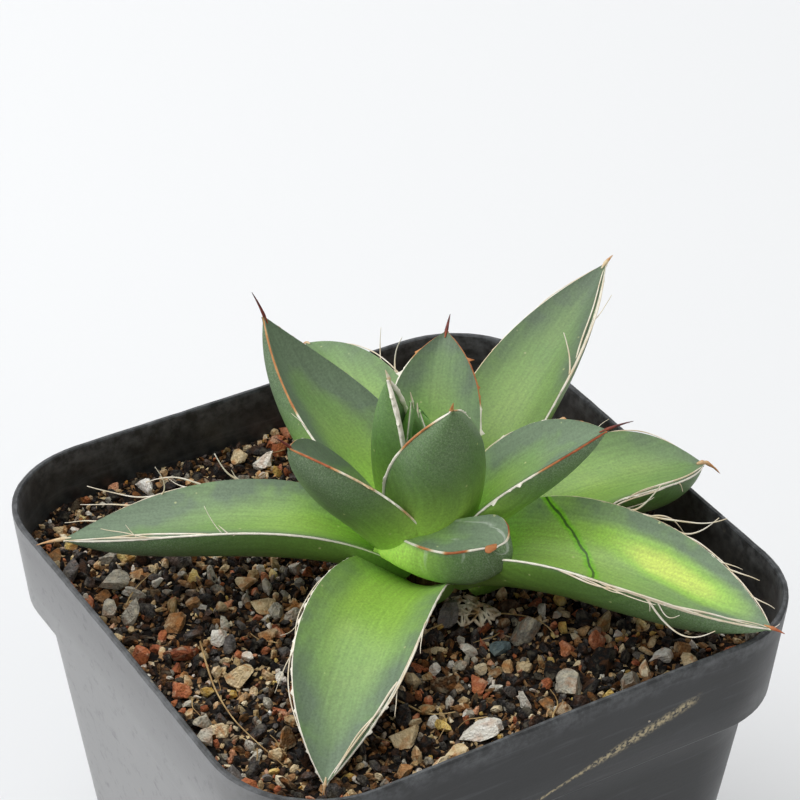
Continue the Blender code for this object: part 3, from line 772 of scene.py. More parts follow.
def drop_at(leaf, along, side):
    if leaf.name not in TUCKED:
        return Vector((0, 0, 0))
    if leaf.name not in _drops:
        _drops[leaf.name] = []          # so that the dent is worked out on the flat leaf
        _drops[leaf.name] = dent_under(leaf)
    rows = _drops[leaf.name]
    if not rows:
        return Vector((0, 0, 0))
    i = min(max(along, 0.0), 1.0) * LEAF_STATIONS
    j = (min(max(side, -1.0), 1.0) + 1) / 2 * UPPER_STEPS
    low_i, low_j = min(int(i), LEAF_STATIONS - 1), min(int(j), UPPER_STEPS - 1)
    di, dj = i - low_i, j - low_j
    near = rows[low_i][low_j] * (1 - dj) + rows[low_i][low_j + 1] * dj
    far = rows[low_i + 1][low_j] * (1 - dj) + rows[low_i + 1][low_j + 1] * dj
    return Vector((0, 0, -(near * (1 - di) + far * di)))


class AGAVE_OT_leaves(bpy.types.Operator):
    """Builds the fifteen fleshy leaves"""

    bl_idname = "agave.leaves"
    bl_label = "Leaves"

    def execute(self, context):
        for leaf in LEAVES:
            skin = make_leaf_skin(leaf)
            look = leaf_material(leaf, AGES[leaf.name], context.scene.agave_colours)
            finish_piece(skin, look, replaces=leaf.name)
        return {"FINISHED"}


# Horny margins and spines

MARGIN_STATIONS = 150
MARGIN_AROUND = 8
# how brown each kind of spine is where it starts and at its point, its thickness at
# the root in millimetres, and how far it curls down as a share of its length
Point = namedtuple("Point", "root tip thick curl")
POINTS = {
    "bud": Point(0.05, 0.15, 0.3, 0.0), "straw": Point(0.16, 0.2, 0.6, 0.0),
    "orange": Point(0.4, 0.5, 0.6, 0.0), "red": Point(0.66, 1.0, 0.52, 0.1),
    "brown": Point(0.4, 0.7, 0.6, 0.1), "pale": Point(0.12, 0.42, 0.66, 0.1),
    "dry": Point(0.26, 0.42, 1.05, 0.6), "blob": Point(0.5, 0.55, 1.1, 0.2),
    "nub": Point(0.2, 0.4, 0.5, 0.3),
}


def rust_at(age, side, along, wobble):
    """How brown a margin is at a place: 0 is ivory and 1 is dark red-brown."""
    most = 0.0
    for which, start, end, depth in age.rust:
        if which != side:
            continue
        fade = 0.035
        come = smooth_step(start - fade, start + fade, along + 0.03 * wobble)
        leave = 1.0 if end >= 1 else 1 - smooth_step(end - fade, end + fade, along)
        most = max(most, depth * come * leave)
    return most * (0.82 + 0.3 * wobble)


def margin_rings(leaf, age, side):
    rings, rust = [], []
    stations = max(60, int(MARGIN_STATIONS * leaf.length / 50))
    for station in range(stations + 1):
        along = 0.04 + 0.96 * station / stations
        _, _, across, up, half, _ = leaf_station(leaf, along)
        place = margin_point(leaf, along, side)
        length = along * leaf.length
        seed = Vector((length / 1.3, side * 7.0, leaf.heading))
        rough = noise.noise(seed)
        flake = max(0.0, noise.noise(seed * 2.1 + Vector((3, 5, 7))) - 0.22) * 2.6
        thin = min(1.0, 0.45 + half / (2.8 * MM)) * (0.25 + 0.75 * smooth_step(0.04, 0.3, along))
        broad = age.edge * MM / 2 * (1 + 0.45 * rough) * thin
        reach = broad + flake * age.tooth * 0.5 * MM
        deep = 0.6 * age.edge * MM / 2 * (1 + 0.25 * rough) * thin + 0.05 * MM
        outward = across * side
        if leaf.name == "leaf_spoon_front" and side > 0:
            shown = 0.3 + 0.7 * smooth_step(0.72, 0.84, along)
            broad, reach, deep = broad * shown, reach * shown, deep * shown
        ring = []
        for step in range(MARGIN_AROUND):
            angle = 2 * math.pi * step / MARGIN_AROUND
            out = math.cos(angle)
            wide = reach if out > 0 else broad
            ring.append(place + outward * out * wide + up * math.sin(angle) * deep)
        if side < 0:
            ring.reverse()
        rings.append(ring)
        wobble = noise.noise(seed * 0.8 + Vector((9, 1, 4)))
        rust.append([rust_at(age, side, along, wobble)] * MARGIN_AROUND)
    return rings, rust


def spine_rings(leaf, age):
    """The spine: round, set on the tip, running back over the blade's end."""
    point = POINTS[age.point]
    tip, forward, across, up, _, _ = leaf_station(leaf, 1.0)
    root_radius = point.thick / 2 * MM
    rings, rust = [], []
    stations = 18
    seat = 0.3               # share of the rings that sit on the blade
    for station in range(stations + 1):
        share = station / stations
        if share < seat:
            back = 1 - share / seat
            place = tip - forward * 1.1 * MM * back
            radius = root_radius * (0.35 + 0.65 * (1 - back))
            lift = (0.25 + leaf.gutter * 0.3 * back) * MM
        else:
            out = (share - seat) / (1 - seat)
            place = tip + forward * leaf.spine * MM * out
            place -= up * point.curl * leaf.spine * MM * out * out
            blunt = 0.4 if age.point == "blob" else 0.85
            radius = root_radius * (1 - out) ** blunt + 0.04 * MM
            lift = 0.25 * MM * (1 - out)
        wobble = noise.noise(Vector((share * 4, leaf.heading, 2.0)))
        if age.point == "dry":
            radius *= 1 + 0.9 * wobble
            place = place + across * 0.8 * MM * math.sin(share * 5) * share
        ring = []
        for step in range(10):
            angle = 2 * math.pi * step / 10
            ring.append(
                place + across * math.cos(angle) * radius
                + up * (math.sin(angle) * radius * 0.85 + lift)
            )
        rings.append(ring)
        brown = point.root + (point.tip - point.root) * share ** 0.7
        rust.append([brown + 0.12 * wobble] * 10)
    return rings, rust


def horn_material(colours):
    """Horn: the dead, fibrous band that edges an agave leaf. It dries ivory and
    bleaches white, and turns rust and then red-brown where it is still young and at
    the spine. Matt, with fibres along it that catch the light."""
    material, tree, shader = new_material("agave_horn", specular_ior_level=0.35)
    rust = add_node(tree, "Attribute", {"attribute_name": "rust"}).outputs["Fac"]
    place = add_node(tree, "TexCoord").outputs["Object"]
    # fibres and flakes 0.4 mm wide
    grain = add_node(tree, "TexNoise", {"noise_dimensions": "3D"}, {
        "Vector": place, "Scale": 1 / (0.4 * MM), "Detail": 3.0}).outputs["Fac"]
    stain = add_node(tree, "Math", {"operation": "MULTIPLY_ADD"}, {
        0: grain, 1: 0.24, 2: -0.12}).outputs[0]
    amount = add_node(tree, "Math", {"operation": "ADD", "use_clamp": True}, {
        0: rust, 1: stain}).outputs[0]
    colour = add_node(tree, "ValToRGB", None, {"Fac": amount}, stops=[
        (0.0, colours.horn), (0.22, linear("#d6c39d")), (0.42, linear("#c48a52")),
        (0.66, linear("#a04e29")), (0.86, linear("#6b2b22")), (1.0, linear("#3a1a1c")),
    ]).outputs["Color"]
    tree.links.new(colour, shader.inputs["Base Color"])
    rough = add_node(tree, "MapRange", None, {
        "Value": amount, "To Min": 0.68, "To Max": 0.36}).outputs["Result"]
    tree.links.new(rough, shader.inputs["Roughness"])
    bump = add_node(tree, "Bump", None, {
        "Strength": 0.6, "Distance": 0.08 * MM, "Height": grain}).outputs["Normal"]
    tree.links.new(bump, shader.inputs["Normal"])
    return material


class AGAVE_OT_margins(bpy.types.Operator):
    """Edges every leaf with its horny band and sets its spine"""

    bl_idname = "agave.margins"
    bl_label = "Margins and spines"

    def execute(self, context):
        look = horn_material(context.scene.agave_colours)
        for leaf in LEAVES:
            age = AGES[leaf.name]
            made = []
            for side in (-1, 1):
                rings, rust = margin_rings(leaf, age, side)
                made.append(tube("band", rings, {"rust": rust}))
            rings, rust = spine_rings(leaf, age)
            made.append(tube("spine", rings, {"rust": rust}))
            horn = join_pieces(leaf.name + "_horn", made)
            finish_piece(horn, look)
        return {"FINISHED"}


# Threads

# Threads peel off the margins. along is where one leaves its margin, then how far its
# end lies from there: along the leaf, out from the margin, and straight up. bow is how
# much it bends on the way, and width is a share of the usual thickness.
Thread = namedtuple(
    "Thread", "leaf side along reach out rise bow width hook", defaults=(1.5,))
THREADS = (
    Thread("leaf_long_left", -1, 0.47, 5.0, 1.6, 3.9, -0.8, 1.3),
    Thread("leaf_long_left", -1, 0.49, 1.4, 0.7, 1.5, 0.1, 0.8),
    Thread("leaf_long_left", -1, 0.60, 8.0, 1.6, 0.2, 1.2, 1.0),
    Thread("leaf_long_left", -1, 0.63, 3.6, 1.8, 0.9, -0.2, 0.8),
    Thread("leaf_long_left", -1, 0.72, 0.6, 0.8, 4.6, -0.9, 0.9),
    Thread("leaf_long_left", -1, 0.68, 12.8, 3.2, 0.8, -1.0, 1.1),
    Thread("leaf_long_left", -1, 0.80, 7.8, 3.4, -0.4, 0.3, 0.9),
    Thread("leaf_long_left", -1, 0.90, 5.0, 1.2, -0.2, 0.3, 0.8),
    Thread("leaf_long_left", 1, 0.50, 4.4, -3.2, 3.0, -1.4, 0.7),
    Thread("leaf_long_left", 1, 0.52, 1.4, -0.8, 1.1, 0.2, 0.7),
    Thread("leaf_long_left", 1, 0.74, 3.6, -2.0, 1.8, -0.7, 0.7),
    Thread("leaf_long_left", 1, 0.72, 8.2, -4.0, 0.6, 0.3, 0.7),
    Thread("leaf_long_right", 1, 0.44, 4.8, 2.0, 4.2, -0.8, 1.4, 1.8),
    Thread("leaf_long_right", 1, 0.50, 11.5, 3.0, 1.8, 0.5, 1.2, 3.5),
    Thread("leaf_long_right", 1, 0.60, 5.4, 3.6, 2.4, -0.4, 1.2, 2.4),
    Thread("leaf_long_right", 1, 0.52, 5.0, 1.4, -1.6, 1.2, 1.0),
    Thread("leaf_long_right", 1, 0.79, 4.8, 0.7, -0.3, 0.2, 1.0, 3.0),
    Thread("leaf_long_right", 1, 0.76, 3.4, 0.6, -0.2, 0.2, 0.8),
    Thread("leaf_long_right", 1, 0.89, 3.6, 0.8, -1.4, -0.2, 1.0, 2.5),
    Thread("leaf_long_right", 1, 0.99, 1.2, 0.6, 0.4, -0.3, 0.7),
    Thread("leaf_long_right", -1, 0.45, 8.0, 0.5, -0.7, -0.4, 0.9),
    Thread("leaf_long_right", -1, 0.52, 9.0, 0.4, -0.5, -0.5, 0.8),
    Thread("leaf_long_right", -1, 0.67, 10.5, 0.2, -0.3, -3.4, 1.1),
    Thread("leaf_long_right", -1, 0.70, 3.6, 0.6, -0.2, -1.5, 0.7),
    Thread("leaf_long_right", -1, 0.66, 1.2, 0.4, -1.6, 0.3, 0.7),
    Thread("leaf_low_right", -1, 0.52, 7.0, 0.8, 0.6, -0.4, 0.9),
    Thread("leaf_low_right", -1, 0.60, 6.0, 0.2, 0.5, 0.4, 0.8),
    Thread("leaf_low_right", -1, 0.80, 0.6, 0.6, -1.4, 0.2, 0.8),
    Thread("leaf_low_right", 1, 0.62, 4.0, 1.6, 1.2, 0.5, 0.6),
    Thread("leaf_upright_right", -1, 0.57, 4.6, -3.4, 2.6, 0.2, 1.1),
    Thread("leaf_upright_right", -1, 0.78, 4.5, 0.8, 1.2, -0.5, 0.8),
    Thread("leaf_upright_right", 1, 0.36, 1.4, 1.0, 9.2, 0.9, 0.6),
    Thread("leaf_upright_right", 1, 0.34, 0.8, 0.8, 3.0, -0.5, 0.9),
    Thread("leaf_low_back", -1, 0.62, 2.2, 2.0, 4.4, 1.0, 1.0),
    Thread("leaf_low_back", -1, 0.70, 3.4, 1.4, 3.2, -0.8, 0.8),
    Thread("leaf_low_back", -1, 0.55, 2.0, 1.2, 2.0, 0.5, 0.7),
    Thread("leaf_low_back", 1, 0.60, 6.0, 2.0, 0.6, 0.8, 0.8),
    Thread("leaf_low_back", 1, 0.78, 5.0, 1.4, -0.4, -0.5, 0.8),
    Thread("leaf_low_front", 1, 0.42, 6.0, 1.2, -0.6, 0.6, 0.8),
    Thread("leaf_low_front", 1, 0.66, 5.0, 0.9, -0.4, -0.4, 0.7),
    Thread("leaf_low_front", -1, 0.62, 7.0, 0.8, -0.3, 0.9, 0.7),
    Thread("leaf_low_front", -1, 0.50, 5.0, 1.6, 0.3, -0.8, 0.6),
    Thread("leaf_upright_left", 1, 0.52, 3.0, 0.8, 0.6, 0.3, 0.6),
)
THREAD_POINTS = 14
# Strips that peel but stay close: leaf, side, from, to, how far out and up at the middle
Peel = namedtuple("Peel", "leaf side start end out up width")
PEELS = (
    Peel("leaf_long_right", -1, 0.40, 0.62, 0.35, -0.45, 1.0),
    Peel("leaf_long_right", -1, 0.55, 0.86, 0.15, 0.35, 1.0),
    Peel("leaf_long_right", -1, 0.72, 0.99, -0.45, 0.25, 1.2),
    Peel("leaf_long_right", -1, 0.80, 1.0, -0.8, 0.15, 0.8),
    Peel("leaf_long_right", 1, 0.64, 0.84, 0.5, 0.1, 0.9),
    Peel("leaf_long_right", 1, 0.80, 0.99, 0.45, 0.1, 0.9),
    Peel("leaf_long_left", 1, 0.56, 0.98, -0.5, 0.35, 1.1),
    Peel("leaf_long_left", 1, 0.70, 1.0, 0.1, 0.45, 0.9),
    Peel("leaf_long_left", -1, 0.60, 0.95, 0.5, 0.0, 0.8),
    Peel("leaf_low_right", -1, 0.45, 0.75, 0.4, -0.2, 1.0),
    Peel("leaf_low_right", -1, 0.62, 0.98, -0.4, 0.3, 1.2),
    Peel("leaf_low_right", 1, 0.70, 0.98, 0.5, 0.2, 0.7),
    Peel("leaf_upright_right", -1, 0.50, 0.97, 0.45, 0.3, 1.2),
    Peel("leaf_upright_right", -1, 0.62, 0.99, -0.5, 0.3, 1.0),
    Peel("leaf_upright_right", 1, 0.75, 0.99, 0.35, 0.1, 0.7),
    Peel("leaf_low_front", 1, 0.50, 0.80, 0.35, 0.1, 1.0),
    Peel("leaf_low_front", 1, 0.66, 0.98, -0.55, 0.3, 1.3),
    Peel("leaf_low_front", 1, 0.74, 0.99, -0.9, 0.2, 1.0),
    Peel("leaf_low_front", -1, 0.55, 0.9, 0.6, 0.0, 0.8),
    Peel("leaf_low_front", -1, 0.35, 0.6, 0.5, 0.2, 0.7),
    Peel("leaf_low_back", -1, 0.5, 0.9, 0.5, 0.2, 0.9),
    Peel("leaf_low_back", 1, 0.6, 0.95, 0.5, 0.1, 0.9),
    Peel("leaf_short_right", 1, 0.3, 0.55, 0.35, 0.2, 0.8),
)


def peel_points(peel):
    leaf = next(item for item in LEAVES if item.name == peel.leaf)
    points = []
    for step in range(THREAD_POINTS):
        share = step / (THREAD_POINTS - 1)
        along = peel.start + (peel.end - peel.start) * share
        _, _, across, up, _, _ = leaf_station(leaf, along)
        away = math.sin(math.pi * share) ** 0.7 + 0.15 * math.sin(9 * share + peel.start * 40)
        points.append(margin_point(leaf, along, peel.side) + (
            across * peel.side * peel.out * away + up * peel.up * away) * MM)
    return points


def thread_points(thread):
    leaf = next(item for item in LEAVES if item.name == thread.leaf)
    _, forward, across, up, _, _ = leaf_station(leaf, thread.along)
    start = margin_point(leaf, thread.along, thread.side)
    outward = across * thread.side
    reach = forward * thread.reach + outward * thread.out + Vector((0, 0, thread.rise))
    sag = up if abs(thread.rise) < abs(thread.reach) else forward
    points = []
    for step in range(THREAD_POINTS):
        share = step / (THREAD_POINTS - 1)
        ease = share ** thread.hook
        along = forward * thread.reach * share
        away = (outward * thread.out + Vector((0, 0, thread.rise))) * ease
        bend = sag * thread.bow * math.sin(math.pi * share)
        tremble = noise.noise_vector(
            Vector((share * 2.2, thread.along * 50, thread.reach))) * 0.05 * reach.length
        points.append(start + (along + away + bend + tremble * share) * MM)
    return points


def string_mesh(name, strands):
    """A mesh of thin round strands. A strand is (points, radius at root, at end)."""
    curve = bpy.data.curves.new(name, "CURVE")
    curve.dimensions = "3D"
    curve.bevel_depth = 1.0
    curve.bevel_resolution = 1
    curve.use_fill_caps = True
    curve.resolution_u = 3
    for points, root, end in strands:
        spline = curve.splines.new("NURBS")
        spline.points.add(len(points) - 1)
        spline.use_endpoint_u = True
        spline.order_u = 3
        for number, (slot, point) in enumerate(zip(spline.points, points)):
            slot.co = (*point, 1)
            slot.radius = root + (end - root) * number / (len(points) - 1)
    guide = bpy.data.objects.new(name, curve)
    bpy.context.scene.collection.objects.link(guide)
    only(guide)
    bpy.ops.object.convert(target="MESH")
    made = bpy.context.object
    made.data.name = name
    bpy.ops.object.mode_set(mode="EDIT")
    bpy.ops.mesh.select_all(action="SELECT")
    bpy.ops.mesh.remove_doubles(threshold=1e-7)
    bpy.ops.mesh.normals_make_consistent(inside=False)
    bpy.ops.object.mode_set(mode="OBJECT")
    only(made)
    bpy.ops.object.shade_smooth()
    return made


def fibre_material(name, pale, tan, width):
    """Dry plant fibre: bleached, hard and slightly glossy, tan where it is thicker."""
    material, tree, shader = new_material(name, specular_ior_level=0.4)
    place = add_node(tree, "TexCoord").outputs["Object"]
    patch = add_node(tree, "TexNoise", {"noise_dimensions": "3D"}, {
        "Vector": place, "Scale": 1 / width, "Detail": 2.0}).outputs["Fac"]
    colour = add_node(tree, "ValToRGB", None, {"Fac": patch}, stops=[
        (0.35, pale), (0.68, tan)]).outputs["Color"]
    tree.links.new(colour, shader.inputs["Base Color"])
    rough = add_node(tree, "MapRange", None, {
        "Value": patch, "To Min": 0.45, "To Max": 0.7}).outputs["Result"]
    tree.links.new(rough, shader.inputs["Roughness"])
    bump = add_node(tree, "Bump", None, {
        "Strength": 0.3, "Distance": 0.04 * MM, "Height": patch}).outputs["Normal"]
    tree.links.new(bump, shader.inputs["Normal"])
    return material


class AGAVE_OT_threads(bpy.types.Operator):
    """Curls the white threads off the leaf margins"""

    bl_idname = "agave.threads"
    bl_label = "Threads"

    def execute(self, context):
        thick = context.scene.agave_sizes.thread_width / 2
        look = fibre_material(
            "agave_thread", linear("#efe8d8"), linear("#d9c7a4"), 3 * MM)
        for leaf in LEAVES:
            strands = [
                (thread_points(thread), thick * thread.width, thick * thread.width * 0.35)
                for thread in THREADS if thread.leaf == leaf.name
            ]
            strands += [
                (peel_points(peel), thick * peel.width, thick * peel.width * 0.6)
                for peel in PEELS if peel.leaf == leaf.name
            ]
            if strands:
                made = string_mesh(leaf.name + "_threads", strands)
                finish_piece(made, look)
        return {"FINISHED"}


# Pot

# (height, half width, corner radius) of the pot's outside, from the foot to the rim
POT_LEVELS = (
    (0.0, 31.8, 6.8), (0.35, 32.65, 7.65), (1.2, 33.0, 8.0), (64.5, 41.2, 14.0),
    (64.9, 41.45, 14.05), (65.9, 43.05, 14.25), (66.4, 43.35, 14.3),
    (81.3, 44.92, 15.95), (81.75, 44.9, 15.9), (82.0, 44.6, 15.6),
)
CORNER_STEPS = 14
SIDE_STEPS = 26
DRAIN_RADIUS = 4.5 * MM
DRAIN_PLACE = 18 * MM


def rounded_square(half, corner, height):
    """Points of a square with round corners, counter-clockwise from above."""
    points = []
    for quarter in range(4):
        turn = math.radians(90 * quarter)
        straight = half - corner
        for step in range(CORNER_STEPS):
            angle = math.pi / 2 * step / CORNER_STEPS
            x = straight + corner * math.cos(angle)
            y = straight + corner * math.sin(angle)
            points.append((x, y, turn))
        for step in range(SIDE_STEPS):
            x = straight - 2 * straight * step / SIDE_STEPS
            points.append((x, half, turn))
    return [
        Vector((
            x * math.cos(turn) - y * math.sin(turn),
            x * math.sin(turn) + y * math.cos(turn),
            height,
        ))
        for x, y, turn in points
    ]


def pot_inside(height):
    """Half width and corner radius of the pot's inside at a height."""
    wall = bpy.context.scene.agave_sizes.wall
    levels = (POT_LEVELS[2], POT_LEVELS[3], POT_LEVELS[6], POT_LEVELS[7])
    rim = levels[-1]
    tall = height / MM
    for low, high in zip(levels, levels[1:]):
        if tall <= high[0]:
            share = (tall - low[0]) / (high[0] - low[0])
            half = low[1] + (high[1] - low[1]) * share
            corner = low[2] + (high[2] - low[2]) * share
            return half * MM - wall, corner * MM - wall
    return rim[1] * MM - wall, rim[2] * MM - wall


def pot_rings(sizes):
    stretch = sizes.rim_width / (90 * MM)
    tall = sizes.pot_height / (82 * MM)
    rings = []
    outside = list(POT_LEVELS)
    # extra rings between the levels keep the long walls' quads square
    fine = []
    for low, high in zip(outside, outside[1:]):
        steps = max(1, int((high[0] - low[0]) / 4))
        for step in range(steps):
            share = step / steps
            fine.append(tuple(a + (b - a) * share for a, b in zip(low, high)))
    fine.append(outside[-1])
    for height, half, corner in fine:
        rings.append(rounded_square(
            half * MM * stretch, corner * MM * stretch, height * MM * tall))
    top = sizes.pot_height
    for drop, in_by in ((0.0, 0.25), (0.2, 0.06), (0.7, 0.0)):
        half, corner = pot_inside(top - drop * MM)
        rings.append(rounded_square(
            (half + in_by * MM) * stretch, (corner + in_by * MM) * stretch,
            top - drop * MM))
    for height in (78, 74, 70, 67.2, 66.2, 65.2, 64, 50, 34, 18, 6, 1.6, 1.0):
        half, corner = pot_inside(height * MM)
        rings.append(rounded_square(half * stretch, corner * stretch, height * MM * tall))
    # a pressed plastic rim is never quite straight or smooth
    for ring in rings:
        for point in ring:
            near = smooth_step(0.7, 1.0, point.z / top)
            rough = noise.noise_vector(point / (1.4 * MM)) * 0.07 * MM
            slack = noise.noise_vector(Vector((point.x, point.y, 0)) / (38 * MM)) * 0.35 * MM
            point += (rough * smooth_step(0.985, 1.0, point.z / top)) + Vector(
                (slack.x, slack.y, 0.4 * slack.z)) * near
    return rings


def pot_material(colours):
    """Black polypropylene, vacuum-formed: thin and half matt. Handling rubs it to a grey haze, the
    sharp edges wear pale, and dry compost dust clings in streaks along the collar. The outside of
    the side towards -X, where the left light falls, is painted pale grey: a painted sheen of that
    light, with some chalky film in it."""
    material, tree, shader = new_material("black_nursery_plastic")
    shader.inputs["IOR"].default_value = 1.49
    shader.inputs["Specular IOR Level"].default_value = 0.5
    shader.inputs["Sheen Weight"].default_value = 0.1
    shader.inputs["Sheen Roughness"].default_value = 0.45
    shader.inputs["Sheen Tint"].default_value = linear("#d9dbde")
    coords = add_node(tree, "TexCoord").outputs["Object"]
    axes = add_node(tree, "SeparateXYZ", None, {0: coords})
    # hand rubs and stacking marks: 12 mm clouds and long 1 mm scratches round the pot
    clouds = add_node(tree, "TexNoise", {"noise_dimensions": "3D"}, {
        "Vector": coords, "Scale": 1 / (12 * MM), "Detail": 5.0, "Roughness": 0.62,
    }).outputs["Fac"]
    drawn = add_node(tree, "Mapping", None, {
        "Vector": coords, "Scale": (60.0, 60.0, 900.0)}).outputs["Vector"]
    scratches = add_node(tree, "TexNoise", {"noise_dimensions": "3D"}, {
        "Vector": drawn, "Scale": 1.0, "Detail": 3.0, "Roughness": 0.6}).outputs["Fac"]
    # the pressed plastic's fine orange peel, 0.5 mm
    peel = add_node(tree, "TexNoise", {"noise_dimensions": "3D"}, {
        "Vector": coords, "Scale": 1 / (0.5 * MM), "Detail": 2.0}).outputs["Fac"]
    haze = add_node(tree, "MapRange", None, {
        "Value": clouds, "From Min": 0.4, "From Max": 0.8, "To Min": 0.0, "To Max": 0.2,
    }).outputs["Result"]
    lines = add_node(tree, "MapRange", None, {
        "Value": scratches, "From Min": 0.58, "From Max": 0.8, "To Min": 0.0,
        "To Max": 0.4}).outputs["Result"]
    worn = add_node(tree, "Math", {"operation": "ADD", "use_clamp": True}, {
        0: haze, 1: lines}).outputs[0]
    colour = add_node(tree, "Mix", COLOUR, {
        0: worn, 6: colours.pot, 7: linear("#5a5d60")}).outputs[2]
    # painted sheen of the left light on the side towards -X, outside the wall, with some chalky
    # film in it
    facing = add_node(tree, "NewGeometry").outputs["Normal"]
    facing = add_node(tree, "SeparateXYZ", None, {0: facing}).outputs["X"]
    left = add_node(tree, "MapRange", {"interpolation_type": "SMOOTHSTEP"}, {
        "Value": facing, "From Min": -0.45, "From Max": -0.98}).outputs["Result"]
    outer = add_node(tree, "MapRange", None, {
        "Value": axes.outputs["X"], "From Min": -20 * MM, "From Max": -30 * MM,
    }).outputs["Result"]
    painted_sheen_and_film = add_node(tree, "Math", {"operation": "MULTIPLY"}, {0: left, 1: outer}).outputs[0]
    uneven = add_node(tree, "MapRange", None, {
        "Value": clouds, "From Min": 0.25, "From Max": 0.75, "To Min": 0.55,
        "To Max": 0.8}).outputs["Result"]
    painted_sheen_and_film = add_node(tree, "Math", {"operation": "MULTIPLY"}, {0: painted_sheen_and_film, 1: uneven}).outputs[0]
    # inside, watering has left a thin grey-brown tide of dust above the soil
    inward = add_node(tree, "VectorMath", {"operation": "DOT_PRODUCT"}, {
        0: add_node(tree, "NewGeometry").outputs["Normal"], 1: coords}).outputs["Value"]
    inner = add_node(tree, "MapRange", None, {
        "Value": inward, "From Min": 0.0, "From Max": -8 * MM}).outputs["Result"]
    fine = add_node(tree, "TexNoise", {"noise_dimensions": "3D"}, {
        "Vector": coords, "Scale": 1 / (2.2 * MM), "Detail": 5.0, "Roughness": 0.7,
    }).outputs["Fac"]
    tide = add_node(tree, "MapRange", None, {
        "Value": fine, "From Min": 0.4, "From Max": 0.75, "To Min": 0.05, "To Max": 0.42,
    }).outputs["Result"]
    tide = add_node(tree, "Math", {"operation": "MULTIPLY"}, {0: inner, 1: tide}).outputs[0]
    colour = add_node(tree, "Mix", COLOUR, {
        0: tide, 6: colour, 7: linear("#6d6f6c")}).outputs[2]
    # pale dust and scuffs along the top of the wall
    top = add_node(tree, "MapRange", {"interpolation_type": "SMOOTHSTEP"}, {
        "Value": axes.outputs["Z"], "From Min": 77.5 * MM, "From Max": 82 * MM,
    }).outputs["Result"]
    scuff = add_node(tree, "MapRange", None, {
        "Value": fine, "From Min": 0.42, "From Max": 0.66, "To Min": 0.06, "To Max": 0.5,
    }).outputs["Result"]
    scuff = add_node(tree, "Math", {"operation": "MULTIPLY"}, {0: top, 1: scuff}).outputs[0]
    colour = add_node(tree, "Mix", COLOUR, {
        0: scuff, 6: colour, 7: linear("#74777a")}).outputs[2]
    # the painted sheen and film on the lit side is smudged, with 3 mm dark rubs in it, and it
    # fades up the collar
    rub = add_node(tree, "MapRange", None, {
        "Value": fine, "From Min": 0.55, "From Max": 0.7, "To Min": 1.0, "To Max": 0.6,
    }).outputs["Result"]
    painted_sheen_and_film = add_node(tree, "Math", {"operation": "MULTIPLY"}, {0: painted_sheen_and_film, 1: rub}).outputs[0]
    low = add_node(tree, "MapRange", None, {
        "Value": axes.outputs["Z"], "From Min": 66 * MM, "From Max": 80 * MM,
        "To Min": 1.0, "To Max": 0.6}).outputs["Result"]
    painted_sheen_and_film = add_node(tree, "Math", {"operation": "MULTIPLY"}, {0: painted_sheen_and_film, 1: low}).outputs[0]
    colour = add_node(tree, "Mix", COLOUR, {
        0: painted_sheen_and_film, 6: colour, 7: linear("#a6a5a4")}).outputs[2]
    colour, dust = add_dust(tree, colour, coords, axes, clouds, peel)
    tree.links.new(colour, shader.inputs["Base Color"])
    rough = add_node(tree, "MapRange", None, {
        "Value": clouds, "From Min": 0.3, "From Max": 0.7, "To Min": 0.34,
        "To Max": 0.5}).outputs["Result"]
    rough = add_node(tree, "Math", {"operation": "MULTIPLY_ADD", "use_clamp": True}, {
        0: dust, 1: 0.35, 2: rough}).outputs[0]
    tree.links.new(rough, shader.inputs["Roughness"])
    relief = add_node(tree, "Math", {"operation": "MULTIPLY_ADD"}, {
        0: scratches, 1: 1.5, 2: peel}).outputs[0]
    bump = add_node(tree, "Bump", None, {
        "Strength": 0.25, "Distance": 0.05 * MM, "Height": relief}).outputs["Normal"]
    tree.links.new(bump, shader.inputs["Normal"])
    return material


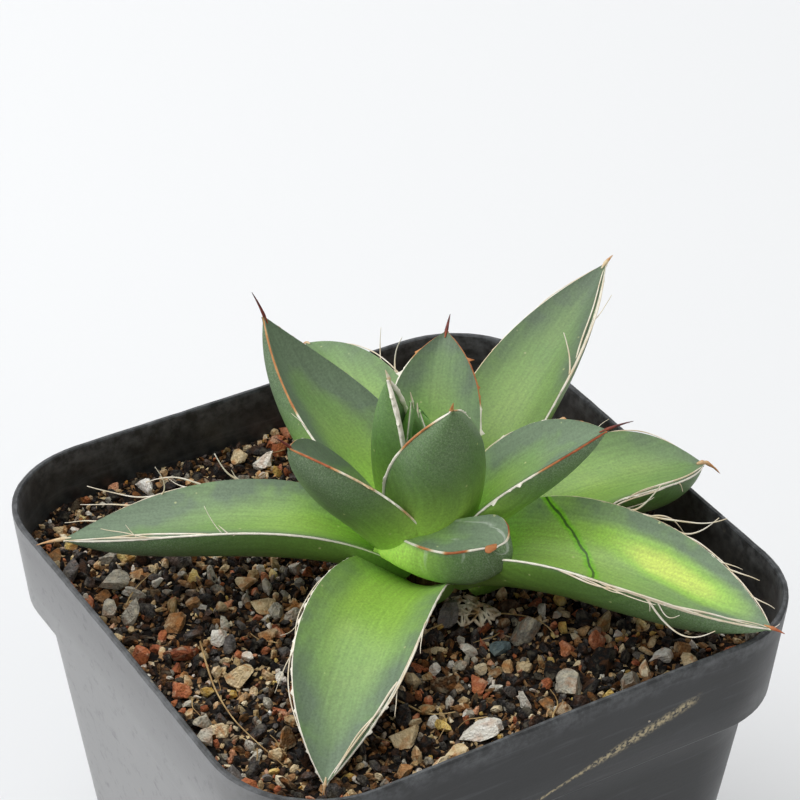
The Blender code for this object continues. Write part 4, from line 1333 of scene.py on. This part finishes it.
def add_dust(tree, colour, coords, axes, clouds, peel):
    """A drawn-out smear of dried soil on the front collar, and specks elsewhere."""
    x, y, z = (axes.outputs[axis] for axis in "XYZ")
    # the smear climbs from the collar's foot at x 1 mm to mid collar at x 22 mm
    climb = add_node(tree, "MapRange", {"interpolation_type": "LINEAR", "clamp": False}, {
        "Value": x, "From Min": 1 * MM, "From Max": 22 * MM, "To Min": 68.6 * MM,
        "To Max": 75.0 * MM}).outputs["Result"]
    off = add_node(tree, "Math", {"operation": "SUBTRACT"}, {0: z, 1: climb}).outputs[0]
    off = add_node(tree, "Math", {"operation": "ABSOLUTE"}, {0: off}).outputs[0]
    ends = add_node(tree, "MapRange", {"interpolation_type": "SMOOTHSTEP"}, {
        "Value": x, "From Min": 0 * MM, "From Max": 12 * MM}).outputs["Result"]
    stop = add_node(tree, "MapRange", {"interpolation_type": "SMOOTHSTEP"}, {
        "Value": x, "From Min": 23.5 * MM, "From Max": 20.5 * MM}).outputs["Result"]
    broad = add_node(tree, "MapRange", None, {
        "Value": ends, "To Min": 0.25 * MM, "To Max": 0.85 * MM}).outputs["Result"]
    near = add_node(tree, "Math", {"operation": "DIVIDE"}, {0: off, 1: broad}).outputs[0]
    near = add_node(tree, "MapRange", {"interpolation_type": "SMOOTHSTEP"}, {
        "Value": near, "From Min": 1.6, "From Max": 0.2}).outputs["Result"]
    grit = add_node(tree, "MapRange", None, {
        "Value": peel, "From Min": 0.38, "From Max": 0.6}).outputs["Result"]
    front = add_node(tree, "MapRange", None, {
        "Value": y, "From Min": -40 * MM, "From Max": -43 * MM}).outputs["Result"]
    for factor in (stop, grit, front):
        near = add_node(tree, "Math", {"operation": "MULTIPLY"}, {0: near, 1: factor}).outputs[0]
    # loose specks of compost, a millimetre across, mostly low on the collar
    specks = add_node(tree, "TexVoronoi", {"feature": "F1"}, {
        "Vector": coords, "Scale": 1 / (7 * MM), "Randomness": 1.0})
    speck = add_node(tree, "MapRange", None, {
        "Value": specks.outputs["Distance"], "From Min": 0.085, "From Max": 0.05,
        "To Max": 0.5}).outputs["Result"]
    some = add_node(tree, "MapRange", None, {
        "Value": clouds, "From Min": 0.48, "From Max": 0.6}).outputs["Result"]
    speck = add_node(tree, "Math", {"operation": "MULTIPLY"}, {0: speck, 1: some}).outputs[0]
    dust = add_node(tree, "Math", {"operation": "MAXIMUM"}, {0: near, 1: speck}).outputs[0]
    colour = add_node(tree, "Mix", COLOUR, {0: dust, 6: colour, 7: linear("#b8aa88")}).outputs[2]
    return colour, dust


class AGAVE_OT_pot(bpy.types.Operator):
    """Forms the square pot with its collar, rounded rim and drain holes"""

    bl_idname = "agave.pot"
    bl_label = "Pot"

    def execute(self, context):
        pot = tube("pot_shell", pot_rings(context.scene.agave_sizes), smooth_angle=35)
        for x in (-1, 1):
            for y in (-1, 1):
                deselect_all()
                bpy.ops.mesh.primitive_cylinder_add(
                    vertices=40, radius=DRAIN_RADIUS, depth=8 * MM,
                    location=(x * DRAIN_PLACE, y * DRAIN_PLACE, 0))
                drain = bpy.context.object
                apply_modifier(
                    pot, "BOOLEAN", operation="DIFFERENCE", object=drain, solver="EXACT")
                bpy.data.objects.remove(drain, do_unlink=True)
        only(pot)
        bpy.ops.object.shade_smooth_by_angle(angle=math.radians(35))
        look = pot_material(context.scene.agave_colours)
        finish_piece(pot, look, replaces="pot")
        return {"FINISHED"}


# Soil, grit and stones


def bed_height(x, y):
    """Height of the fine soil between the grains."""
    place = Vector((x, y, 0))
    top = bpy.context.scene.agave_sizes.pot_height - bpy.context.scene.agave_sizes.soil_drop
    broad = noise.noise(place / (13 * MM))
    lumps = noise.noise(place / (3.2 * MM) + Vector((5, 0, 0)))
    fine = noise.noise(place / (1.1 * MM))
    return top + (0.8 * broad + 0.5 * lumps + 0.25 * fine) * MM


def fines_material():
    """Peat dust and black lava sand between the grains: nearly black and matt, partly its own dark
    colour and partly painted shade in the gaps between the grains.
    """
    material, tree, shader = new_material("potting_fines", specular_ior_level=0.25)
    place = add_node(tree, "TexCoord").outputs["Object"]
    # sand grains 0.6 mm
    sand = add_node(tree, "TexVoronoi", {"feature": "F1"}, {
        "Vector": place, "Scale": 1 / (0.6 * MM)})
    shade = add_node(tree, "SeparateColor", None, {0: sand.outputs["Color"]}).outputs[0]
    colour = add_node(tree, "ValToRGB", None, {"Fac": shade}, stops=[
        (0.0, linear("#090706")), (0.5, linear("#19120d")), (0.78, linear("#46311f")),
        (0.93, linear("#a07c52")), (1.0, linear("#e4cc9c"))]).outputs["Color"]
    tree.links.new(colour, shader.inputs["Base Color"])
    shader.inputs["Roughness"].default_value = 0.9
    bump = add_node(tree, "Bump", None, {
        "Strength": 1.0, "Distance": 0.3 * MM, "Height": sand.outputs["Distance"]})
    bump.invert = True
    tree.links.new(bump.outputs["Normal"], shader.inputs["Normal"])
    return material


class AGAVE_OT_soil(bpy.types.Operator):
    """Fills the pot with fine soil"""

    bl_idname = "agave.soil"
    bl_label = "Fine soil"

    def execute(self, context):
        rings = []
        gap = 0.05 * MM
        for height in (1.05, 6, 30, 50, 64, 65.5, 67, 70, 73):
            half, corner = pot_inside(height * MM)
            rings.append(rounded_square(half - gap, corner - gap, height * MM))
        half, corner = pot_inside(73.5 * MM)
        steps = 64
        for step in range(steps):
            share = 1 - step / steps
            ring = rounded_square((half - gap) * share, (corner - gap) * share, 0)
            rings.append([Vector((p.x, p.y, bed_height(p.x, p.y))) for p in ring])
        bed = tube("soil_fines", rings, smooth_angle=60)
        finish_piece(bed, fines_material(), replaces="soil")
        return {"FINISHED"}


# What the grit is made of: the share of grains, how rough a stone it is, its darkest,
# middle and lightest colour, how strongly pores mark it, how much iron stains it, and
# how much pale crust it carries.
Rock = namedtuple("Rock", "name share flat dark middle light pores stain crust")
ROCKS = (
    Rock("black_lava", 0.38, 0.85, "#0b0a0a", "#262424", "#7d7874", 0.9, 0.12, 0.12),
    Rock("pine_bark", 0.14, 0.5, "#150e09", "#43301f", "#9a764c", 0.5, 0.35, 0.15),
    Rock("baked_clay", 0.11, 0.85, "#4a331f", "#99714a", "#e2ba86", 0.7, 0.5, 0.5),
    Rock("red_lava", 0.07, 0.85, "#642f1c", "#bd6f4a", "#f0b48c", 0.9, 0.3, 0.4),
    Rock("tan_pumice", 0.14, 0.8, "#94794c", "#e0c79a", "#fff2d2", 0.6, 0.7, 0.3),
    Rock("yellow_pumice", 0.03, 0.7, "#b08a3c", "#eccb74", "#fbeeb8", 0.5, 0.7, 0.3),
    Rock("white_pumice", 0.07, 0.8, "#a8a394", "#ece7d9", "#fffdf6", 0.5, 0.4, 0.3),
    Rock("grey_granite", 0.06, 0.85, "#4e4c48", "#a19c8e", "#e6dfcc", 0.8, 0.35, 0.5),
)


def rock_material(rock):
    """Broken stone: matt, every face a little different, with pores or specks."""
    material, tree, shader = new_material(
        "grit_" + rock.name, roughness=0.86, specular_ior_level=0.3)
    place = add_node(tree, "TexCoord").outputs["Object"]
    tint = add_node(tree, "Attribute", {"attribute_name": "tint"}).outputs["Fac"]
    # mottling 1.1 mm with detail down to dust, pores and specks 0.35 mm
    mottle = add_node(tree, "TexNoise", {"noise_dimensions": "3D"}, {
        "Vector": place, "Scale": 1 / (1.1 * MM), "Detail": 5.0, "Roughness": 0.78,
    }).outputs["Fac"]
    pits = add_node(tree, "TexVoronoi", {"feature": "F1"}, {
        "Vector": place, "Scale": 1 / (0.35 * MM)}).outputs["Distance"]
    mixed = add_node(tree, "Math", {"operation": "MULTIPLY_ADD"}, {
        0: mottle, 1: 1.5, 2: -0.75}).outputs[0]
    mixed = add_node(tree, "Math", {"operation": "ADD", "use_clamp": True}, {
        0: mixed, 1: tint}).outputs[0]
    colour = add_node(tree, "ValToRGB", None, {"Fac": mixed}, stops=[
        (0.0, linear(rock.dark)), (0.5, linear(rock.middle)), (1.0, linear(rock.light)),
    ]).outputs["Color"]
    # iron stain in 1.4 mm blotches, and pale weathered crust
    stain = add_node(tree, "TexNoise", {"noise_dimensions": "3D"}, {
        "Vector": place, "Scale": 1 / (1.9 * MM), "Detail": 3.0, "Distortion": 0.4,
    }).outputs["Fac"]
    rusty = add_node(tree, "MapRange", None, {
        "Value": stain, "From Min": 0.5, "From Max": 0.64, "To Max": rock.stain,
    }).outputs["Result"]
    colour = add_node(tree, "Mix", COLOUR, {
        0: rusty, 6: colour, 7: linear("#b97434")}).outputs[2]
    crust = add_node(tree, "MapRange", None, {
        "Value": stain, "From Min": 0.46, "From Max": 0.34, "To Max": rock.crust,
    }).outputs["Result"]
    colour = add_node(tree, "Mix", COLOUR, {
        0: crust, 6: colour, 7: linear("#d9cbac")}).outputs[2]
    hole = add_node(tree, "MapRange", None, {
        "Value": pits, "From Min": 0.28, "From Max": 0.08, "To Max": rock.pores * 0.7,
    }).outputs["Result"]
    colour = add_node(tree, "Mix", COLOUR, {
        0: hole, 6: colour, 7: linear(rock.dark)}).outputs[2]
    tree.links.new(colour, shader.inputs["Base Color"])
    relief = add_node(tree, "Math", {"operation": "MULTIPLY_ADD"}, {
        0: mottle, 1: 1.2, 2: pits}).outputs[0]
    bump = add_node(tree, "Bump", None, {
        "Strength": 0.85, "Distance": 0.22 * MM, "Height": relief}).outputs["Normal"]
    tree.links.new(bump, shader.inputs["Normal"])
    return material


def chip(points, rng, cuts, low, high):
    """Knocks flats off a lump: points beyond a random plane are pressed to it."""
    for _ in range(cuts):
        facing = Vector([rng.uniform(-1, 1) for _ in range(3)]).normalized()
        reach = rng.uniform(low, high)
        for point in points:
            over = point.dot(facing) - reach
            if over > 0:
                point -= facing * over


def model_grain(name, detail, rng, flat):
    """One grain about its own middle, of half width 1: a chipped, uneven lump."""
    deselect_all()
    bpy.ops.mesh.primitive_ico_sphere_add(subdivisions=detail, radius=1)
    grain = bpy.context.object
    grain.name = name
    offset = Vector([rng.uniform(0, 20) for _ in range(3)])
    points = [vertex.co.copy() for vertex in grain.data.vertices]
    for point in points:
        point *= 1 + 0.42 * noise.noise(point * 1.3 + offset)
    chip(points, rng, 10, 0.38, 0.78)
    for vertex, point in zip(grain.data.vertices, points):
        vertex.co = Vector((point.x, point.y, point.z * flat))
    if detail == 2:
        apply_modifier(grain, "DECIMATE", ratio=0.6)
    return grain


GRAIN_SHAPES = 9
# diameter from, to, how many are tried, how near they may lie, and how high they sit
GRAIN_SIZES = (
    (3.2, 5.0, 260, 0.84, 0.30),
    (2.2, 3.2, 1500, 0.74, 0.25),
    (1.4, 2.2, 5600, 0.6, 0.25),
    (0.7, 1.4, 11000, 0.5, 0.35),
)
LIGHT_WHEN_BIG = {"black_lava": 0.8, "pine_bark": 0.7, "grey_granite": 1.6}


class Ground:
    """Finds free places for grains on the bed, clear of leaves and stones."""

    def __init__(self):
        self.cells = {}
        self.cell = 5 * MM
        self.trees = []
        for obj in bpy.data.objects:
            if obj.type == "MESH" and (
                obj.name.endswith("_skin") or obj.name.endswith("_lump")
            ):
                self.trees.append(BVHTree.FromPolygons(
                    [vertex.co.copy() for vertex in obj.data.vertices],
                    [tuple(face.vertices) for face in obj.data.polygons]))

    def key(self, x, y):
        return int(math.floor(x / self.cell)), int(math.floor(y / self.cell))

    def free(self, x, y, radius, near):
        column, row = self.key(x, y)
        for i in range(column - 1, column + 2):
            for j in range(row - 1, row + 2):
                for other_x, other_y, other in self.cells.get((i, j), ()):
                    gap = math.hypot(x - other_x, y - other_y)
                    if gap < near * (radius + other):
                        return False
        return True

    def take(self, x, y, radius):
        self.cells.setdefault(self.key(x, y), []).append((x, y, radius))

    def clear_of_leaves(self, place, radius):
        for tree in self.trees:
            spot, normal, _, gap = tree.find_nearest(place, radius * 2)
            if spot is None:
                continue
            if gap < radius * 0.8 or (place - spot).dot(normal) < 0:
                return False
        return True


def inside_pot(x, y, half, corner):
    x, y = abs(x), abs(y)
    if x > half or y > half:
        return False
    over_x, over_y = x - (half - corner), y - (half - corner)
    return over_x <= 0 or over_y <= 0 or math.hypot(over_x, over_y) <= corner


def scatter_grains(rng):
    """(kind, x, y, z, radius) of every grain, the biggest first."""
    ground = Ground()
    half, corner = pot_inside(73 * MM)
    grains = []
    for low, high, tries, near, lift in GRAIN_SIZES:
        for _ in range(tries):
            radius = rng.uniform(low, high) / 2 * MM
            x, y = rng.uniform(-half, half), rng.uniform(-half, half)
            pick = rng.random()
            if not inside_pot(x, y, half - radius * 0.8, corner - radius * 0.8):
                continue
            if not ground.free(x, y, radius, near):
                continue
            z = bed_height(x, y) + lift * radius + 0.1 * MM
            if not ground.clear_of_leaves(Vector((x, y, z)), radius):
                continue
            ground.take(x, y, radius)
            shares = [
                (rock, rock.share * (LIGHT_WHEN_BIG.get(rock.name, 1.0) if low > 3 else 1))
                for rock in ROCKS
            ]
            whole = sum(share for _, share in shares)
            running = 0.0
            for rock, share in shares:
                running += share / whole
                if pick <= running:
                    break
            grains.append((rock.name, x, y, z, radius))
    return grains


class AGAVE_OT_grit(bpy.types.Operator):
    """Scatters the mixed grit over the soil"""

    bl_idname = "agave.grit"
    bl_label = "Grit"

    def execute(self, context):
        rng = random.Random(41)
        shapes = {}
        for rock in ROCKS:
            made = [
                model_grain(f"grain_{number}", 2, rng, rock.flat)
                for number in range(GRAIN_SHAPES)
            ]
            shapes[rock.name] = [
                ([vertex.co.copy() for vertex in grain.data.vertices],
                 [tuple(face.vertices) for face in grain.data.polygons])
                for grain in made
            ]
            for grain in made:
                bpy.data.objects.remove(grain, do_unlink=True)
        grains = scatter_grains(rng)
        for rock in ROCKS:
            points, faces, tints = [], [], []
            for kind, x, y, z, radius in grains:
                if kind != rock.name:
                    continue
                shape_points, shape_faces = rng.choice(shapes[kind])
                turn = Euler([rng.uniform(0, 2 * math.pi) for _ in range(3)]).to_matrix()
                stretch = Matrix.Diagonal((
                    radius * rng.uniform(0.95, 1.55), radius * rng.uniform(0.75, 1.15),
                    radius * rng.uniform(0.65, 1.05)))
                mould = turn @ stretch
                first = len(points)
                middle = Vector((x, y, z))
                points += [mould @ point + middle for point in shape_points]
                faces += [tuple(first + corner for corner in face) for face in shape_faces]
                tints += [min(max(rng.gauss(0.45, 0.2), 0), 1)] * len(shape_points)
            mesh = bpy.data.meshes.new("grit_" + rock.name)
            mesh.from_pydata(points, [], faces)
            mesh.update()
            set_numbers(mesh, "tint", tints)
            grit = bpy.data.objects.new("grit_" + rock.name, mesh)
            context.scene.collection.objects.link(grit)
            only(grit)
            bpy.ops.object.shade_smooth_by_angle(angle=math.radians(28))
            finish_piece(grit, rock_material(rock))
        return {"FINISHED"}


STONE_KINDS = {
    "stone_grey_granite": "grey_granite", "stone_white_pumice": "white_pumice",
    "stone_tan_lump": "tan_pumice", "stone_brown_lump": "baked_clay",
    "stone_round_white": "white_pumice", "stone_blue_slate": "blue_slate",
    "stone_sand_flat": "tan_pumice", "stone_pale_oval": "tan_pumice",
    "stone_red_lava": "red_lava", "stone_corner_grey": "grey_granite",
    "stone_rust_back": "red_lava", "stone_cream_back": "tan_pumice",
    "stone_rust_left": "red_lava", "stone_pumice_side": "white_pumice",
}
SLATE = Rock("blue_slate", 0, 0.6, "#3c484b", "#66777a", "#93a3a3", 0.2, 0.0, 0.1)


class AGAVE_OT_stones(bpy.types.Operator):
    """Shapes the larger stones in the places the frame gives them"""

    bl_idname = "agave.stones"
    bl_label = "Stones"

    def execute(self, context):
        rng = random.Random(7)
        looks = {rock.name: rock_material(rock) for rock in (*ROCKS, SLATE)}
        for name in sorted(node for node in frame["nodes"] if node.startswith("stone_")):
            low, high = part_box(name)
            stone = model_grain(name + "_lump", 5, rng, 1.0)
            offset = Vector([rng.uniform(0, 20) for _ in range(3)])
            points = [vertex.co.copy() for vertex in stone.data.vertices]
            reach = [max(abs(point[axis]) for point in points) for axis in range(3)]
            half = (high - low) / 2
            middle = (high + low) / 2
            for vertex, point in zip(stone.data.vertices, points):
                fine = noise.fractal(point * 3.2 + offset, 0.9, 2.1, 5)
                point = point * (0.97 + 0.035 * fine)
                vertex.co = middle + Vector([
                    point[axis] / reach[axis] * half[axis] for axis in range(3)])
            kind = STONE_KINDS[name]
            tint = 0.62 if kind in ("white_pumice", "grey_granite") else 0.5
            set_numbers(stone.data, "tint", [tint] * len(stone.data.vertices))
            only(stone)
            bpy.ops.object.shade_smooth_by_angle(angle=math.radians(40))
            finish_piece(stone, looks[kind], replaces=name)
        return {"FINISHED"}


# Litter on the soil, and the stem

# Loose roots and straws: points in millimetres, and the radius
LITTER = (
    ([(-30.6, 1.7), (-33.0, -5.5), (-34.3, -12.0), (-34.6, -18.0), (-32.8, -26.6)], 0.16),
    ([(-1.5, -11.5), (3.0, -11.2), (7.5, -12.6), (10.8, -15.0), (13.4, -19.5),
      (13.2, -22.6)], 0.14),
    ([(-13.6, -21.5), (-12.6, -25.5), (-10.8, -28.2), (-8.0, -30.0)], 0.16),
    ([(2.2, -39.0), (3.4, -36.4), (6.4, -34.6), (6.9, -31.0)], 0.15),
    ([(-36.0, 14.0), (-33.0, 18.0), (-28.0, 19.5)], 0.12),
    ([(20.0, 25.0), (25.0, 31.0), (33.0, 32.0), (36.0, 28.0)], 0.13),
    ([(-22.0, -22.0), (-26.0, -18.5), (-25.0, -13.0)], 0.1),
    ([(30.0, 14.0), (34.0, 8.0), (33.0, 0.0)], 0.12),
)


SHORT_ROOTLETS = 26
ROOTLET_SPREAD = 38 * MM
ROOTLET_STEP = 1.6 * MM
BRACT_PLACE = (6.0, -11.5)   # mm from the pot's middle
BRACT_TURN = 118             # degrees


def old_bract(rng):
    """The skeleton of a rotted leaf base: a net of veins over a crumpled dome."""
    turn = Matrix.Rotation(math.radians(BRACT_TURN), 2)
    knots = {}
    for row in range(8):
        for column in range(7):
            x = (row - 3.5) * 1.15 + rng.uniform(-0.35, 0.35)
            y = (column - 3 + 0.5 * (row % 2)) * 0.85 + rng.uniform(-0.3, 0.3)
            if (x / 4.6) ** 2 + (y / 3.2) ** 2 > 1:
                continue
            place = turn @ Vector((x, y)) + Vector(BRACT_PLACE)
            dome = 2.6 - 0.07 * x * x - 0.16 * y * y + rng.uniform(-0.25, 0.25)
            knots[row, column] = Vector((
                place.x * MM, place.y * MM, bed_height(place.x * MM, place.y * MM) + dome * MM))
    veins = []
    for (row, column), place in knots.items():
        for ahead in ((row + 1, column), (row, column + 1), (row + 1, column - 1)):
            if ahead in knots and rng.random() < 0.82:
                middle = place.lerp(knots[ahead], 0.5) + Vector((
                    rng.uniform(-1, 1), rng.uniform(-1, 1), rng.uniform(-1, 1))) * 0.22 * MM
                wide = rng.uniform(0.14, 0.36) * MM
                veins.append(([place, middle, knots[ahead]], wide, wide * 0.8))
    return veins


class AGAVE_OT_litter(bpy.types.Operator):
    """Lays rootlets, straws and a netted old bract on the soil"""

    bl_idname = "agave.litter"
    bl_label = "Litter"

    def execute(self, context):
        rng = random.Random(19)
        strands = []
        for places, radius in LITTER:
            points = []
            for number, (x, y) in enumerate(places):
                lift = 1.3 + 0.5 * math.sin(number * 1.7 + x)
                points.append(Vector((
                    x * MM, y * MM, bed_height(x * MM, y * MM) + lift * MM)))
            strands.append((points, radius * MM, radius * MM * 0.5))
        for _ in range(SHORT_ROOTLETS):
            x, y = (rng.uniform(-ROOTLET_SPREAD, ROOTLET_SPREAD) for _ in range(2))
            turn = rng.uniform(0, 2 * math.pi)
            points = []
            for _ in range(4):
                points.append(Vector((x, y, bed_height(x, y) + rng.uniform(0.6, 1.6) * MM)))
                x += math.cos(turn) * ROOTLET_STEP
                y += math.sin(turn) * ROOTLET_STEP
                turn += rng.uniform(-0.8, 0.8)
            strands.append((points, 0.1 * MM, 0.05 * MM))
        roots = string_mesh("rootlets", strands)
        look = fibre_material("dry_rootlet", linear("#c9ac78"), linear("#8d6a3e"), 4 * MM)
        finish_piece(roots, look)
        net = string_mesh("netted_bract", old_bract(rng))
        look = fibre_material("bleached_bract", linear("#efe6cf"), linear("#b08a58"), 2 * MM)
        finish_piece(net, look)
        return {"FINISHED"}


class AGAVE_OT_stem(bpy.types.Operator):
    """Gives the stem its fibrous bark"""

    bl_idname = "agave.stem"
    bl_label = "Stem"

    def execute(self, context):
        material, tree, shader = new_material(
            "dry_stem_fibre", roughness=0.85, specular_ior_level=0.25)
        place = add_node(tree, "TexCoord").outputs["Object"]
        # fibres run down the stem: 0.5 mm apart, 6 mm long
        drawn = add_node(tree, "Mapping", None, {
            "Vector": place, "Scale": (2000.0, 2000.0, 170.0)}).outputs["Vector"]
        bark = add_node(tree, "TexNoise", {"noise_dimensions": "3D"}, {
            "Vector": drawn, "Scale": 1.0, "Detail": 3.0}).outputs["Fac"]
        colour = add_node(tree, "ValToRGB", None, {"Fac": bark}, stops=[
            (0.3, linear("#4b3722")), (0.55, linear("#8f7146")),
            (0.8, linear("#c9b082"))]).outputs["Color"]
        tree.links.new(colour, shader.inputs["Base Color"])
        bump = add_node(tree, "Bump", None, {
            "Strength": 0.8, "Distance": 0.3 * MM, "Height": bark}).outputs["Normal"]
        tree.links.new(bump, shader.inputs["Normal"])
        stem = frame["nodes"]["stem"]
        stem.data.materials.clear()
        stem.data.materials.append(material)
        return {"FINISHED"}


# Studio

CAMERA_HEADING = -31.378     # degrees round from the -Y side
CAMERA_PITCH = 34.266        # degrees above level
CAMERA_ROLL = 0.632          # degrees
CAMERA_DISTANCE = 430.7 * MM
CAMERA_ASIDE = 0.99 * MM
CAMERA_RAISE = 20.3 * MM
LENS = 135                   # mm, on a 36 mm wide sensor

# name, place, what it points at, size, watts, colour
LIGHTS = (
    ("overhead", (-0.25, 0.45, 1.25), (0, 0, 0.08), (2.2, 1.8), 22.5, "#ffffff"),
    ("left_window", (-1.3, 0.35, 0.45), (0, 0, 0.05), (1.2, 0.9), 5.6, "#f6f9ff"),
    ("front_fill", (0.5, -1.4, 0.9), (0, 0, 0.08), (1.2, 1.0), 2.8, "#fffaf2"),
)


class AGAVE_OT_studio(bpy.types.Operator):
    """Sets the pale floor, the soft lights and the camera"""

    bl_idname = "agave.studio"
    bl_label = "Studio"

    def execute(self, context):
        scene = context.scene
        deselect_all()
        bpy.ops.mesh.primitive_plane_add(size=12)
        floor = bpy.context.object
        floor.name = "floor"
        material, tree, shader = new_material(
            "pale_table", roughness=0.7, specular_ior_level=0.2)
        place = add_node(tree, "TexCoord").outputs["Object"]
        tone = add_node(tree, "TexNoise", {"noise_dimensions": "3D"}, {
            "Vector": place, "Scale": 3.0, "Detail": 1.0}).outputs["Fac"]
        colour = add_node(tree, "ValToRGB", None, {"Fac": tone}, stops=[
            (0.3, linear("#e6e7e8")), (0.7, linear("#e8e9ea"))]).outputs["Color"]
        tree.links.new(colour, shader.inputs["Base Color"])
        floor.data.materials.append(material)

        for name, place, target, (wide, high), watts, tone in LIGHTS:
            deselect_all()
            bpy.ops.object.light_add(type="AREA", location=place)
            lamp = bpy.context.object
            lamp.name = name
            lamp.data.shape = "RECTANGLE"
            lamp.data.size, lamp.data.size_y = wide, high
            lamp.data.energy = watts
            lamp.data.color = linear(tone)[:3]
            aim = Vector(target) - Vector(place)
            lamp.rotation_euler = aim.to_track_quat("-Z", "Y").to_euler()

        world = bpy.data.worlds.new("studio")
        world.use_nodes = True
        sky = world.node_tree.nodes["Background"]
        sky.inputs["Color"].default_value = linear("#f4f5f6")
        sky.inputs["Strength"].default_value = 0.42
        scene.world = world
        scene.view_settings.view_transform = "Standard"

        heading, pitch, roll = (
            math.radians(angle) for angle in (CAMERA_HEADING, CAMERA_PITCH, CAMERA_ROLL))
        back = Vector((
            math.sin(heading) * math.cos(pitch), -math.cos(heading) * math.cos(pitch),
            math.sin(pitch)))
        level = Vector((math.cos(heading), math.sin(heading), 0))
        upward = back.cross(level)
        right = level * math.cos(roll) + upward * math.sin(roll)
        upward = upward * math.cos(roll) - level * math.sin(roll)
        deselect_all()
        bpy.ops.object.camera_add()
        camera = bpy.context.object
        camera.name = "camera"
        camera.data.sensor_width = 36
        camera.data.lens = LENS
        camera.data.clip_start = 0.02
        turn = Matrix((right, upward, back)).transposed()
        camera.rotation_euler = turn.to_euler()
        rim = Vector((0, 0, scene.agave_sizes.pot_height))
        camera.location = (
            back * CAMERA_DISTANCE + right * CAMERA_ASIDE + upward * CAMERA_RAISE + rim)
        scene.camera = camera
        return {"FINISHED"}


class AGAVE_PT_panel(bpy.types.Panel):
    """Lists the agave's pieces"""

    bl_idname = "AGAVE_PT_panel"
    bl_label = "Potted agave"
    bl_space_type = "VIEW_3D"
    bl_region_type = "UI"
    bl_category = "Agave"

    def draw(self, context):
        for kind in OPERATORS:
            self.layout.operator(kind.bl_idname)


OPERATORS = (
    AGAVE_OT_pot, AGAVE_OT_leaves, AGAVE_OT_margins, AGAVE_OT_threads, AGAVE_OT_stones,
    AGAVE_OT_soil, AGAVE_OT_grit, AGAVE_OT_litter, AGAVE_OT_stem, AGAVE_OT_studio,
)
CLASSES = (AgaveSizes, AgaveColours, *OPERATORS, AGAVE_PT_panel)


def register():
    for kind in CLASSES:
        bpy.utils.register_class(kind)
    bpy.types.Scene.agave_sizes = bpy.props.PointerProperty(type=AgaveSizes)
    bpy.types.Scene.agave_colours = bpy.props.PointerProperty(type=AgaveColours)


def unregister():
    del bpy.types.Scene.agave_sizes
    del bpy.types.Scene.agave_colours
    for kind in reversed(CLASSES):
        bpy.utils.unregister_class(kind)


def main():
    register()
    bpy.ops.agave.pot()
    bpy.ops.agave.leaves()
    bpy.ops.agave.margins()
    bpy.ops.agave.threads()
    bpy.ops.agave.stones()
    bpy.ops.agave.soil()
    bpy.ops.agave.grit()
    bpy.ops.agave.litter()
    bpy.ops.agave.stem()
    bpy.ops.agave.studio()


if __name__ == "__main__":
    main()
